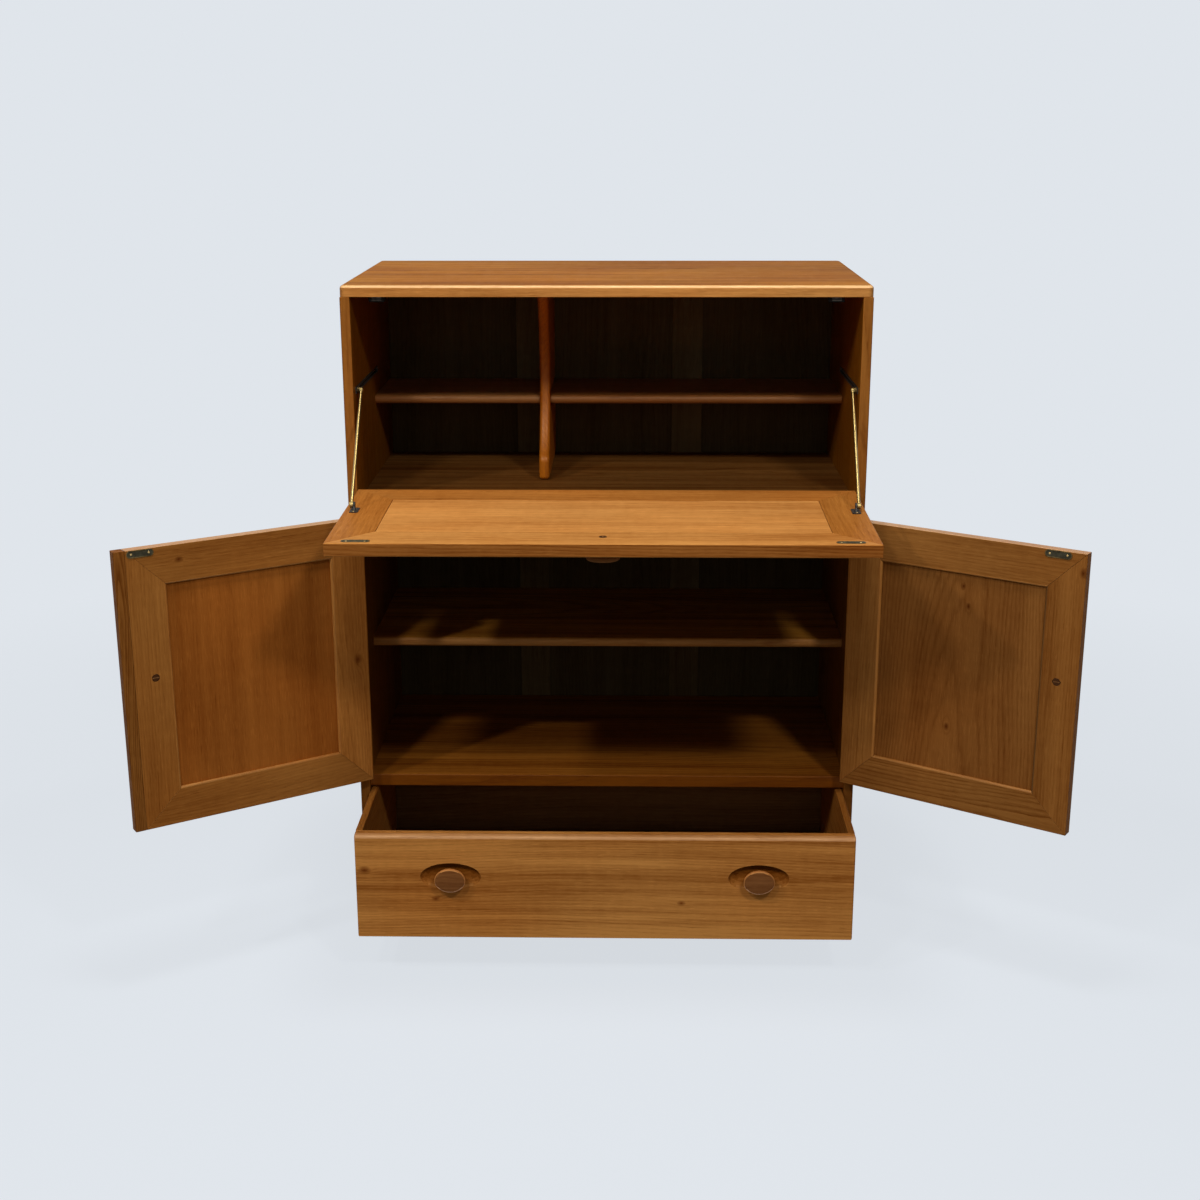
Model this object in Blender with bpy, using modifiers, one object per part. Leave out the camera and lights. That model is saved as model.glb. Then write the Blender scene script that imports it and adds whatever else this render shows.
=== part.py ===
"""Drinks cabinet with a drop flap on stays, two doors and a drawer, standing open.

Metres, +Z up; seen from the front, +X is to the right and +Y to the back. The origin is the middle of
the plinth's underside, on the floor.
"""
from math import asin, atan2, cos, hypot, pi, radians, sin

import bmesh
import bpy
from mathutils import Matrix, Vector

# Gap between pieces that touch
GAP = 0.0003

# How far a cutter runs past what it cuts, and how far joined shapes run into each other
OVERRUN = 0.002
OVERLAP = 0.001

# Carcass
WIDTH = 0.830
HEIGHT = 1.097
DEPTH = 0.450
TOP_THICK = 0.018
TOP_ROUND = 0.006
SIDE_THICK = 0.016
BOARD_THICK = 0.021
EDGE_ROUND = 0.0018
HOUSING = 0.005

# Openings in the front, from the floor up; the flap's opening is what is left under the top
PLINTH_HEIGHT = 0.072
DRAWER_OPENING = 0.186
DOOR_OPENING = 0.453

PLINTH_THICK = 0.018
PLINTH_SETBACK = 0.030
BAR_SETBACK = 0.0015
CUPBOARD_FLOOR_SETBACK = 0.010

# Back: two muntins between three panels
BACK_INSET = 0.415
MUNTIN_WIDTH = 0.0545
MUNTIN_THICK = 0.020
MUNTIN_CENTRE = 0.141
BACK_PANEL_THICK = 0.009
BACK_PANEL_RECESS = 0.004
BACK_CLEAR = 0.020

# Divider and shelves
DIVIDER_THICK = 0.018
DIVIDER_CENTRE = -0.1074
DIVIDER_TOP_INSET = 0.167
DIVIDER_SCOOP_INSET = 0.2225
DIVIDER_SCOOP_HEIGHT = 0.162
DIVIDER_FOOT_INSET = 0.169
DIVIDER_FOOT_HEIGHT = 0.034
DIVIDER_SHOULDER = 0.014
UPPER_SHELF_THICK = 0.015
UPPER_SHELF_HEIGHT = 0.136
UPPER_SHELF_INSET = 0.226
CUPBOARD_SHELF_THICK = 0.016
CUPBOARD_SHELF_HEIGHT = 0.214
CUPBOARD_SHELF_INSET = 0.101
SHELF_ROUND = 0.006

# Hinges of the flap and the doors
LEAF_THICK = 0.001
LEAF_WIDTH = 0.016
HINGE_LENGTH = 0.050
KNUCKLE_RADIUS = 0.0025
PIN_PROUD = 0.0015
DOOR_HINGE_END = 0.040
FLAP_HINGE_FROM_SIDE = 0.109

# Flap, closed inside its opening and photographed open, a little below level
FLAP_THICK = 0.020
FLAP_MEMBER = 0.065
FLAP_GAP_BELOW = 0.0017
FLAP_GAP_ABOVE = 0.0016
FLAP_GAP_END = 0.0008
FLAP_DROOP = radians(1.25)
FLAP_PANEL_THICK = 0.006
FLAP_PANEL_TONGUE = 0.006
FLAP_FIELD_DROP = 0.0006
FLAP_FIELD_GAP = 0.0006
FLAP_KNOB_EDGE = 0.040

# Doors
DOOR_THICK = 0.0175
STRIP_WIDTH = 0.0174
DOOR_MEMBER = 0.060
DOOR_GAP = 0.002
DOOR_HINGE_GAP = 0.0015
DOOR_CENTRE_GAP = 0.002
DOOR_OPEN = radians(146.5)
DOOR_PANEL_THICK = 0.0075
DOOR_PANEL_TONGUE = 0.006
DOOR_EDGE_ROUND = 0.003
SIGHT_ROUND = 0.0035
DOOR_KNOB_EDGE = 0.0325
DOOR_KNOB_HEIGHT = 0.2465

# Knobs: an oval disc on a round spigot
KNOB_LONG = 0.051
KNOB_SHORT = 0.044
KNOB_DISC = 0.013
KNOB_STANDOFF = 0.004
SPIGOT_RADIUS = 0.0058
# The disc's edge, in from its rim and up from its flat back
KNOB_EDGE = 0.0035
KNOB_EASE = 0.0002
# The dome, as shares of the radius and drops below the crown
KNOB_DOME = ((0.0, 0.0), (0.35, 0.0003), (0.62, 0.0014), (0.82, 0.0034), (0.94, 0.0058), (1.0, 0.0085))

# Carved finger recess behind each drawer knob: a half moon whose floor slopes in towards its top
RECESS_LONG = 0.096
RECESS_RISE = 0.028
RECESS_DEPTH = 0.010
RECESS_DROP = 0.003

# Drawer
DRAWER_PULL = 0.1865
DRAWER_GAP_BELOW = 0.005
DRAWER_GAP_ABOVE = 0.003
DRAWER_GAP_END = 0.0015
DRAWER_FRONT_THICK = 0.019
DRAWER_FRONT_ROUND = 0.008
DRAWER_LENGTH = 0.400
DRAWER_WALL = 0.011
DRAWER_BOTTOM_THICK = 0.006
DRAWER_BOTTOM_RAISE = 0.010
DRAWER_BOTTOM_GROOVE = 0.005
DRAWER_KNOB_FROM_END = 0.152
DRAWER_KNOB_DROP = 0.073

# Runner strips on the sides, and the grooves that they fill in the drawer's sides
RUNNER_HEIGHT = 0.012
RUNNER_ENGAGE = 0.0055
RUNNER_GROOVE = 0.006
RUNNER_CLEARANCE = 0.0005
RUNNER_RAISE = 0.095
RUNNER_SETBACK = 0.030

# Stays: a rod from a bracket on the flap to a slider in a track on the side
TRACK_RAISE = 0.1762
TRACK_HEIGHT = 0.010
TRACK_THICK = 0.0035
TRACK_PROUD = 0.001
TRACK_SLOT = 0.004
TRACK_END_WALL = 0.003
TRACK_SPARE = 0.0014
SLIDER_HEAD = 0.003
SLIDER_RADIUS = 0.0055
SLIDER_CLEARANCE = 0.0003
SLIDER_START = 0.031
ROD_RADIUS = 0.0024
ROD_EYE_RADIUS = 0.0048
ROD_EYE_THICK = 0.0052
ROD_EYE_CLEARANCE = 0.0004
BRACKET_FROM_HINGE = 0.138
BRACKET_PIVOT_HEIGHT = 0.0095
BRACKET_BASE = 0.0015
BRACKET_LONG = 0.026
BRACKET_WIDE = 0.013
BRACKET_LUG = 0.0025
BRACKET_PIN_PROUD = 0.0008
PIVOT_INSET = 0.0130
PIVOT_PIN_RADIUS = 0.0017
PIVOT_HOLE_CLEARANCE = 0.0002

# Catches under the top that hold the flap shut
CATCH_DROP = 0.010
CATCH_LONG = 0.025
CATCH_DEEP = 0.018
CATCH_FROM_SIDE = 0.0385
CATCH_BEHIND_FLAP = 0.003
CATCH_ROUND = 0.002

# Places that follow from the sizes
FRONT = -(PLINTH_SETBACK + PLINTH_THICK / 2)
BACK = FRONT + DEPTH
INNER = WIDTH / 2 - SIDE_THICK
BACK_FACE = FRONT + BACK_INSET
TOP_UNDER = HEIGHT - TOP_THICK
FLOOR_UNDER = PLINTH_HEIGHT + DRAWER_OPENING
FLOOR_TOP = FLOOR_UNDER + BOARD_THICK
BAR_UNDER = FLOOR_TOP + DOOR_OPENING
BAR_TOP = BAR_UNDER + BOARD_THICK
DOOR_FRAME_WIDTH = INNER - DOOR_HINGE_GAP - (DOOR_CENTRE_GAP + STRIP_WIDTH) / 2

COLOURS = {
    "elm": ((0.42, 0.205, 0.072), 0.42, 0.0),
    "elm_dark": ((0.24, 0.105, 0.034), 0.50, 0.0),
    "elm_shade": ((0.30, 0.140, 0.050), 0.55, 0.0),
    "brass": ((0.60, 0.42, 0.16), 0.30, 1.0),
    "dark_metal": ((0.045, 0.036, 0.028), 0.45, 0.8),
}
X = Vector((1, 0, 0))
Y = Vector((0, 1, 0))
Z = Vector((0, 0, 1))


def collection(name):
    """Return the scene's collection of that name, made when it is first asked for."""
    found = bpy.data.collections.get(name)
    if found is None:
        found = bpy.data.collections.new(name)
        bpy.context.scene.collection.children.link(found)
    return found


def finish(obj, look):
    """Give a part its own material."""
    colour, roughness, metallic = COLOURS[look]
    material = bpy.data.materials.new(obj.name + "_" + look)
    material.use_nodes = True
    shader = material.node_tree.nodes["Principled BSDF"]
    shader.inputs["Base Color"].default_value = (*colour, 1.0)
    shader.inputs["Roughness"].default_value = roughness
    shader.inputs["Metallic"].default_value = metallic
    obj.data.materials.append(material)


def add_object(name, mesh, place, parent, look):
    """Link a mesh as a part, or as a cutter when it has no look."""
    obj = bpy.data.objects.new(name, mesh)
    obj.matrix_basis = place
    obj.parent = parent
    if look is None:
        obj.hide_render = True
        obj.display_type = "WIRE"
        collection("Cutters").objects.link(obj)
    else:
        finish(obj, look)
        collection("Drinks cabinet").objects.link(obj)
    return obj


def box(name, low, high, look=None, parent=None):
    """Make a box between two corners, with its origin in its middle."""
    low = Vector(low)
    high = Vector(high)
    shape = bmesh.new()
    bmesh.ops.create_cube(shape, size=1.0)
    bmesh.ops.scale(shape, vec=high - low, verts=shape.verts)
    mesh = bpy.data.meshes.new(name)
    shape.to_mesh(mesh)
    shape.free()
    return add_object(name, mesh, Matrix.Translation((low + high) / 2), parent, look)


def cylinder(name, start, end, radius, look=None, parent=None, sides=24):
    """Make a cylinder between two points."""
    start = Vector(start)
    end = Vector(end)
    shape = bmesh.new()
    bmesh.ops.create_cone(shape, cap_ends=True, segments=sides, radius1=radius, radius2=radius,
                          depth=(end - start).length)
    mesh = bpy.data.meshes.new(name)
    shape.to_mesh(mesh)
    shape.free()
    turn = (end - start).to_track_quat("Z", "Y").to_matrix().to_4x4()
    return add_object(name, mesh, Matrix.Translation((start + end) / 2) @ turn, parent, look)


def combine(obj, other, operation):
    """Cut other out of obj, or join it on; the other piece stays as a hidden guide."""
    step = obj.modifiers.new(other.name, "BOOLEAN")
    step.operation = operation
    step.solver = "EXACT"
    step.object = other


def cut(obj, *cutters):
    """Cut one or more guides out of a part."""
    for cutter in cutters:
        combine(obj, cutter, "DIFFERENCE")


def join(obj, *guides):
    """Join one or more guides onto a part."""
    for guide in guides:
        combine(obj, guide, "UNION")


def round_edges(obj, along, beside, width, segments=3):
    """Round the edges that run along an axis, on the sides of the box that beside points to."""
    shape = bmesh.new()
    shape.from_mesh(obj.data)
    chosen = []
    for edge in shape.edges:
        direction = (edge.verts[1].co - edge.verts[0].co).normalized()
        middle = (edge.verts[0].co + edge.verts[1].co) / 2
        on_side = all(place * sign >= 0 for place, sign in zip(middle, beside))
        if abs(direction.dot(along)) > 0.99 and on_side:
            chosen.append(edge)
    bmesh.ops.bevel(shape, geom=chosen, offset=width, segments=segments, profile=0.5, affect="EDGES")
    shape.to_mesh(obj.data)
    shape.free()


def smooth(obj):
    """Shade a turned piece smooth, with its sharp edges kept."""
    obj.data.shade_smooth()
    obj.data.set_sharp_from_angle(angle=radians(35))


def mitre(obj, along, inward):
    """Cut both ends of a frame member at 45 degrees, shorter on the side that faces the panel."""
    shape = bmesh.new()
    shape.from_mesh(obj.data)
    half = Vector([max(vert.co[axis] for vert in shape.verts) for axis in range(3)])
    for end in (-1, 1):
        normal = (along * end + inward).normalized()
        corner = along * (end * abs(half.dot(along))) - inward * abs(half.dot(inward))
        everything = shape.verts[:] + shape.edges[:] + shape.faces[:]
        bmesh.ops.bisect_plane(shape, geom=everything, plane_co=corner - normal * (GAP / 2),
                               plane_no=normal, clear_outer=True)
        rim = [edge for edge in shape.edges if edge.is_boundary]
        bmesh.ops.contextual_create(shape, geom=rim)
    bmesh.ops.recalc_face_normals(shape, faces=shape.faces)
    shape.to_mesh(obj.data)
    shape.free()


def pivot(name, place):
    """Add the empty that stands on a joint's axis and carries the pieces that move with it."""
    empty = bpy.data.objects.new(name, None)
    empty.matrix_basis = place
    empty.empty_display_size = 0.03
    collection("Drinks cabinet").objects.link(empty)
    return empty


def knob(name, centre, outward, long_axis, bore, parent):
    """Make an oval domed disc that stands off the face, with a spigot through the wood."""
    radius = KNOB_LONG / 2
    bottom = KNOB_STANDOFF
    top = KNOB_STANDOFF + KNOB_DISC
    profile = [(radius * share, top - drop) for share, drop in KNOB_DOME]
    profile += [(radius - 2 * KNOB_EASE, bottom + KNOB_EDGE * 0.45)]
    profile += [(radius - KNOB_EDGE * 0.6, bottom + KNOB_EASE), (radius * 0.55, bottom), (0.0, bottom)]
    mesh = bpy.data.meshes.new(name)
    shape = bmesh.new()
    points = [shape.verts.new((x, 0.0, z)) for x, z in profile]
    for first, second in zip(points, points[1:]):
        shape.edges.new((first, second))
    shape.to_mesh(mesh)
    shape.free()
    across = outward.cross(long_axis)
    frame = Matrix((long_axis, across, outward)).transposed().to_4x4()
    place = Matrix.Translation(centre) @ frame
    obj = add_object(name, mesh, place, parent, "elm")
    turn = obj.modifiers.new("Turn", "SCREW")
    turn.axis = "Z"
    turn.steps = 28
    turn.render_steps = 28
    turn.use_merge_vertices = True
    turn.merge_threshold = 0.0001
    turn.use_normal_calculate = True
    squash(obj, KNOB_SHORT / KNOB_LONG)
    spigot = cylinder(name + "_spigot", centre - outward * bore, centre + outward * (bottom + OVERRUN),
                      SPIGOT_RADIUS, parent=parent)
    join(obj, spigot)
    smooth(obj)
    return obj


def squash(obj, ratio):
    """Turn a lathed piece into an oval one by applying its modifiers and narrowing its mesh."""
    graph = bpy.context.evaluated_depsgraph_get()
    mesh = bpy.data.meshes.new_from_object(obj.evaluated_get(graph))
    mesh.name = obj.name
    mesh.transform(Matrix.Diagonal((1.0, ratio, 1.0, 1.0)))
    shape = bmesh.new()
    shape.from_mesh(mesh)
    bmesh.ops.remove_doubles(shape, verts=shape.verts, dist=0.00001)
    bmesh.ops.recalc_face_normals(shape, faces=shape.faces)
    shape.to_mesh(mesh)
    shape.free()
    obj.modifiers.clear()
    obj.data = mesh


def knob_hole(name, centre, outward, depth, parent):
    """Return the cutter of the hole that a knob's spigot fills."""
    start = centre - outward * (depth + OVERRUN)
    end = centre + outward * OVERRUN
    return cylinder(name + "_hole", start, end, SPIGOT_RADIUS + GAP, parent=parent)


def recess(name, centre, parent):
    """Return the cutter of a finger recess: an oval cylinder tilted so that its end is the floor."""
    shape = bmesh.new()
    bmesh.ops.create_cone(shape, cap_ends=True, segments=40, radius1=1.0, radius2=1.0, depth=1.0)
    bmesh.ops.translate(shape, vec=(0, 0, 0.5), verts=shape.verts)
    bmesh.ops.scale(shape, vec=(RECESS_LONG / 2, RECESS_RISE, 3 * RECESS_DEPTH), verts=shape.verts)
    mesh = bpy.data.meshes.new(name)
    shape.to_mesh(mesh)
    shape.free()
    tilt = asin(RECESS_DEPTH / RECESS_RISE)
    turn = Matrix.Rotation(pi / 2 - tilt, 4, "X")
    return add_object(name, mesh, Matrix.Translation(centre) @ turn, parent, None)


def carcass():
    """Build the fixed pieces: top, sides, boards, plinth, back, divider and shelves."""
    top = box("top_panel", (-WIDTH / 2, FRONT, TOP_UNDER), (WIDTH / 2, BACK, HEIGHT), "elm")
    round_edges(top, X, -Y, TOP_ROUND)
    side_cutters = housings()
    for side, name in ((-1, "left"), (1, "right")):
        inner = side * INNER
        outer = side * WIDTH / 2
        low = (min(inner, outer), FRONT, 0.0)
        high = (max(inner, outer), BACK, TOP_UNDER - GAP)
        panel = box(name + "_side", low, high, "elm")
        round_edges(panel, Z, -Y, EDGE_ROUND)
        cut(panel, *side_cutters)
    span = INNER + HOUSING - GAP
    box("bar_board", (-span, FRONT + BAR_SETBACK, BAR_UNDER), (span, BACK_FACE - GAP, BAR_TOP), "elm")
    box("cupboard_floor", (-span, FRONT + CUPBOARD_FLOOR_SETBACK, FLOOR_UNDER),
        (span, BACK_FACE - GAP, FLOOR_TOP), "elm")
    for name in ("bar_board", "cupboard_floor"):
        round_edges(bpy.data.objects[name], X, -Y, EDGE_ROUND)
    plinth_span = INNER - GAP
    box("plinth", (-plinth_span, FRONT + PLINTH_SETBACK, 0.0),
        (plinth_span, FRONT + PLINTH_SETBACK + PLINTH_THICK, PLINTH_HEIGHT), "elm")
    shelf_top = FLOOR_TOP + CUPBOARD_SHELF_HEIGHT
    shelf = box("cupboard_shelf", (-span, FRONT + CUPBOARD_SHELF_INSET, shelf_top - CUPBOARD_SHELF_THICK),
                (span, BACK_FACE - GAP, shelf_top), "elm")
    round_edges(shelf, X, -Y, SHELF_ROUND)
    back()
    divider_and_shelves()


def housings():
    """Return the cutters of the housings that the sides and the divider hold the boards in."""
    depth = INNER + HOUSING
    shelf_top = FLOOR_TOP + CUPBOARD_SHELF_HEIGHT
    upper_top = BAR_TOP + UPPER_SHELF_HEIGHT
    spans = {
        "bar": (BAR_SETBACK, BAR_UNDER, BAR_TOP),
        "floor": (CUPBOARD_FLOOR_SETBACK, FLOOR_UNDER, FLOOR_TOP),
        "cupboard_shelf": (CUPBOARD_SHELF_INSET, shelf_top - CUPBOARD_SHELF_THICK, shelf_top),
        "upper_shelf": (UPPER_SHELF_INSET, upper_top - UPPER_SHELF_THICK, upper_top),
    }
    cutters = []
    for name, (inset, low, high) in spans.items():
        cutters.append(box(name + "_housing", (-depth, FRONT + inset - GAP, low - GAP),
                           (depth, BACK_FACE, high + GAP)))
    panel_front = BACK_FACE + BACK_PANEL_RECESS
    cutters.append(box("back_housing", (-depth, panel_front - GAP, BACK_CLEAR - GAP),
                       (depth, panel_front + BACK_PANEL_THICK + GAP, HEIGHT)))
    low = track_height() - TRACK_HEIGHT / 2 - GAP
    high = track_height() + TRACK_HEIGHT / 2 + GAP
    track_depth = INNER + TRACK_THICK - TRACK_PROUD + GAP
    start, end = track_ends()
    cutters.append(box("track_housing", (-track_depth, start - GAP, low), (track_depth, end + GAP, high)))
    cutters += knuckle_cutters()
    return cutters


def knuckle_cutters():
    """Return the cutters that clear the door hinges' knuckles from the sides and the doors' edges."""
    cutters = []
    for side in (-1, 1):
        for height in door_hinge_heights():
            centre = Vector((side * door_pin_x(), FRONT - PIN_PROUD, height))
            reach = Z * (HINGE_LENGTH / 2 + GAP)
            cutters.append(cylinder("knuckle_room", centre - reach, centre + reach, KNUCKLE_RADIUS + GAP))
    return cutters


def door_pin_x():
    """Return how far from the middle the doors' hinge pins stand."""
    return INNER - DOOR_HINGE_GAP / 2


def door_hinge_heights():
    """Return the heights of the middles of a door's two hinges, bottom first."""
    inset = DOOR_HINGE_END + HINGE_LENGTH / 2
    return (FLOOR_TOP + inset, BAR_UNDER - inset)


def back():
    """Build the framed back: two muntins with a panel each side and one between them."""
    muntin_top = TOP_UNDER - GAP
    panel_front = BACK_FACE + BACK_PANEL_RECESS
    panel_back = panel_front + BACK_PANEL_THICK
    half = MUNTIN_WIDTH / 2
    for side, name in ((-1, "left"), (1, "right")):
        middle = side * MUNTIN_CENTRE
        muntin = box("back_muntin_" + name, (middle - half, BACK_FACE, BACK_CLEAR),
                     (middle + half, BACK_FACE + MUNTIN_THICK, muntin_top), "elm_dark")
        for edge in (-1, 1):
            ends = sorted((middle + edge * (half - HOUSING), middle + edge * (half + HOUSING)))
            cut(muntin, box("muntin_groove_" + name, (ends[0], panel_front - GAP, 0.0),
                            (ends[1], panel_back + GAP, HEIGHT)))
    edge = MUNTIN_CENTRE - half + HOUSING - GAP
    far = MUNTIN_CENTRE + half - HOUSING + GAP
    side_end = INNER + HOUSING - GAP
    for name, left, right in (("left", -side_end, -far), ("centre", -edge, edge), ("right", far, side_end)):
        low = (left, panel_front, BACK_CLEAR)
        box("back_panel_" + name, low, (right, panel_back, muntin_top), "elm_dark")


def divider_and_shelves():
    """Build the divider with its scooped front edge, and the shelf on each side of it."""
    foot = BAR_TOP + GAP
    head = TOP_UNDER - GAP
    back_y = BACK_FACE - GAP
    foot_y = FRONT + DIVIDER_FOOT_INSET
    scoop = (FRONT + DIVIDER_SCOOP_INSET, BAR_TOP + DIVIDER_SCOOP_HEIGHT)
    shoulder = BAR_TOP + DIVIDER_FOOT_HEIGHT
    outline = bpy.data.curves.new("divider", "CURVE")
    outline.dimensions = "2D"
    outline.fill_mode = "BOTH"
    outline.extrude = DIVIDER_THICK / 2
    outline.resolution_u = 10
    # Each knot's place, then how far its handles reach before and after it; straight where there is none
    knots = [
        ((back_y, foot), None, None),
        ((back_y, head), None, None),
        ((FRONT + DIVIDER_TOP_INSET, head), None, (0.026, -0.055)),
        (scoop, (0.0, 0.060), (0.0, -0.040)),
        ((foot_y + 0.8 * DIVIDER_SHOULDER, shoulder + DIVIDER_SHOULDER), (0.022, 0.026), (-0.006, -0.006)),
        ((foot_y, shoulder - 0.3 * DIVIDER_SHOULDER), (0.0, 0.009), None),
        ((foot_y, foot), None, None),
    ]
    spline = outline.splines.new("BEZIER")
    spline.bezier_points.add(len(knots) - 1)
    spline.use_cyclic_u = True
    for knot, (place, before, after) in zip(spline.bezier_points, knots):
        knot.co = (*place, 0.0)
        knot.handle_left_type = "FREE" if before else "VECTOR"
        knot.handle_right_type = "FREE" if after else "VECTOR"
        if before:
            knot.handle_left = (place[0] + before[0], place[1] + before[1], 0.0)
        if after:
            knot.handle_right = (place[0] + after[0], place[1] + after[1], 0.0)
    guide = bpy.data.objects.new("divider_outline", outline)
    collection("Cutters").objects.link(guide)
    graph = bpy.context.evaluated_depsgraph_get()
    mesh = bpy.data.meshes.new_from_object(guide.evaluated_get(graph))
    mesh.name = "divider"
    bpy.data.objects.remove(guide)
    shape = bmesh.new()
    shape.from_mesh(mesh)
    bmesh.ops.remove_doubles(shape, verts=shape.verts, dist=0.00001)
    bmesh.ops.recalc_face_normals(shape, faces=shape.faces)
    shape.to_mesh(mesh)
    shape.free()
    upright = Matrix((Y, Z, X)).transposed().to_4x4()
    divider = add_object("divider", mesh, Matrix.Translation((DIVIDER_CENTRE, 0, 0)) @ upright, None, "elm")
    shelf_top = BAR_TOP + UPPER_SHELF_HEIGHT
    shelf_low = shelf_top - UPPER_SHELF_THICK
    shelf_front = FRONT + UPPER_SHELF_INSET
    web = DIVIDER_THICK / 2 - HOUSING
    for side, name in ((-1, "left"), (1, "right")):
        face = DIVIDER_CENTRE + side * web
        past = DIVIDER_CENTRE + side * DIVIDER_THICK
        cut(divider, box("divider_housing_" + name, (min(face, past), shelf_front - GAP, shelf_low - GAP),
                         (max(face, past), BACK, shelf_top + GAP)))
        near = face + side * GAP
        far = side * (INNER + HOUSING - GAP)
        shelf = box("upper_shelf_" + name, (min(near, far), shelf_front, shelf_low),
                    (max(near, far), BACK_FACE - GAP, shelf_top), "elm")
        round_edges(shelf, X, -Y, SHELF_ROUND)


def runners():
    """Build the strips on the sides that carry the drawer."""
    low = runner_low()
    start = FRONT + RUNNER_SETBACK
    for side, name in ((-1, "left"), (1, "right")):
        root = side * (INNER - GAP)
        tip = side * (INNER - DRAWER_GAP_END - RUNNER_ENGAGE)
        box("drawer_runner_" + name, (min(root, tip), start, low),
            (max(root, tip), BACK_FACE - GAP, low + RUNNER_HEIGHT), "elm_shade")


def runner_low():
    """Return the height of the runner strips' undersides."""
    return PLINTH_HEIGHT + DRAWER_GAP_BELOW + RUNNER_RAISE


def track_height():
    """Return the height of the middle of the stay tracks."""
    return BAR_TOP + TRACK_RAISE


def track_ends():
    """Return where the stay tracks start and end, a little past the slider's two stops."""
    beyond = SLIDER_RADIUS + TRACK_SPARE + TRACK_END_WALL
    start = FRONT + SLIDER_START
    return start - beyond, start + stay_travel()[1] + beyond


def track_face():
    """Return how far from the middle the stay tracks' inner faces lie."""
    return INNER - TRACK_PROUD


def tracks_and_sliders():
    """Build the slotted stay tracks, and the sliders that run in them."""
    z = track_height()
    first, last = track_ends()
    for side, name in ((-1, "left"), (1, "right")):
        face = side * track_face()
        rear = side * (track_face() + TRACK_THICK)
        track = box("stay_track_" + name, (min(face, rear), first, z - TRACK_HEIGHT / 2),
                    (max(face, rear), last, z + TRACK_HEIGHT / 2), "dark_metal")
        slot = box("track_slot_" + name,
                   (min(face, rear) - GAP, first + TRACK_END_WALL, z - TRACK_SLOT / 2),
                   (max(face, rear) + GAP, last - TRACK_END_WALL, z + TRACK_SLOT / 2))
        cut(track, slot)
        start = FRONT + SLIDER_START
        near = track_face() - SLIDER_CLEARANCE
        tongue = TRACK_SLOT / 2 - SLIDER_CLEARANCE
        ends = (side * (near - OVERLAP), side * (track_face() + TRACK_THICK - SLIDER_CLEARANCE))
        carrier = pivot("stay_slider_" + name + "_slide", Matrix.Translation((0, start, z)))
        head = cylinder("stay_slider_" + name, (side * (near - SLIDER_HEAD), 0, 0), (side * near, 0, 0),
                        SLIDER_RADIUS, "brass", carrier)
        foot = box("slider_tongue_" + name, (min(ends), -SLIDER_RADIUS, -tongue),
                   (max(ends), SLIDER_RADIUS, tongue), None, carrier)
        join(head, foot)


def catches():
    """Build the catches under the top that hold the flap shut."""
    start = FRONT + FLAP_THICK + CATCH_BEHIND_FLAP
    for side, name in ((-1, "left"), (1, "right")):
        middle = side * (INNER - CATCH_FROM_SIDE)
        catch = box("flap_catch_" + name, (middle - CATCH_LONG / 2, start, TOP_UNDER - GAP - CATCH_DROP),
                    (middle + CATCH_LONG / 2, start + CATCH_DEEP, TOP_UNDER - GAP), "dark_metal")
        round_edges(catch, X, -Z, CATCH_ROUND)


def hinges():
    """Build the fixed half of each butt hinge: a knuckle with a leaf on the cabinet."""
    pin_x = door_pin_x()
    pin_y = FRONT - PIN_PROUD
    for side, name in ((-1, "left"), (1, "right")):
        for height, end in zip(door_hinge_heights(), ("bottom", "top")):
            centre = Vector((side * pin_x, pin_y, height))
            reach = Z * (HINGE_LENGTH / 2)
            title = "door_hinge_" + name + "_" + end
            knuckle = cylinder(title, centre - reach, centre + reach, KNUCKLE_RADIUS, "brass")
            outer = side * (INNER - GAP)
            inner = side * (INNER - GAP - LEAF_THICK)
            leaf = box(title + "_leaf", (min(outer, inner), pin_y, height - HINGE_LENGTH / 2),
                       (max(outer, inner), FRONT + LEAF_WIDTH, height + HINGE_LENGTH / 2))
            join(knuckle, leaf)
            smooth(knuckle)
    for side, name in ((-1, "left"), (1, "right")):
        centre = Vector((side * (INNER - FLAP_HINGE_FROM_SIDE), FRONT, flap_axis_height()))
        reach = X * (HINGE_LENGTH / 2)
        title = "flap_hinge_" + name
        knuckle = cylinder(title, centre - reach, centre + reach, KNUCKLE_RADIUS, "brass")
        leaf = box(title + "_leaf", centre - reach + Z * (BAR_TOP + GAP - centre.z),
                   centre + reach + Y * LEAF_WIDTH + Z * (BAR_TOP + GAP + LEAF_THICK - centre.z))
        join(knuckle, leaf)
        smooth(knuckle)
        room = X * (HINGE_LENGTH / 2 + GAP)
        cutter = cylinder(title + "_room", centre - room, centre + room, KNUCKLE_RADIUS + GAP)
        cut(bpy.data.objects["bar_board"], cutter)


def flap_axis_height():
    """Return the height of the flap's hinge pins, in the middle of the gap under the closed flap."""
    return BAR_TOP + FLAP_GAP_BELOW / 2


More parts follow.
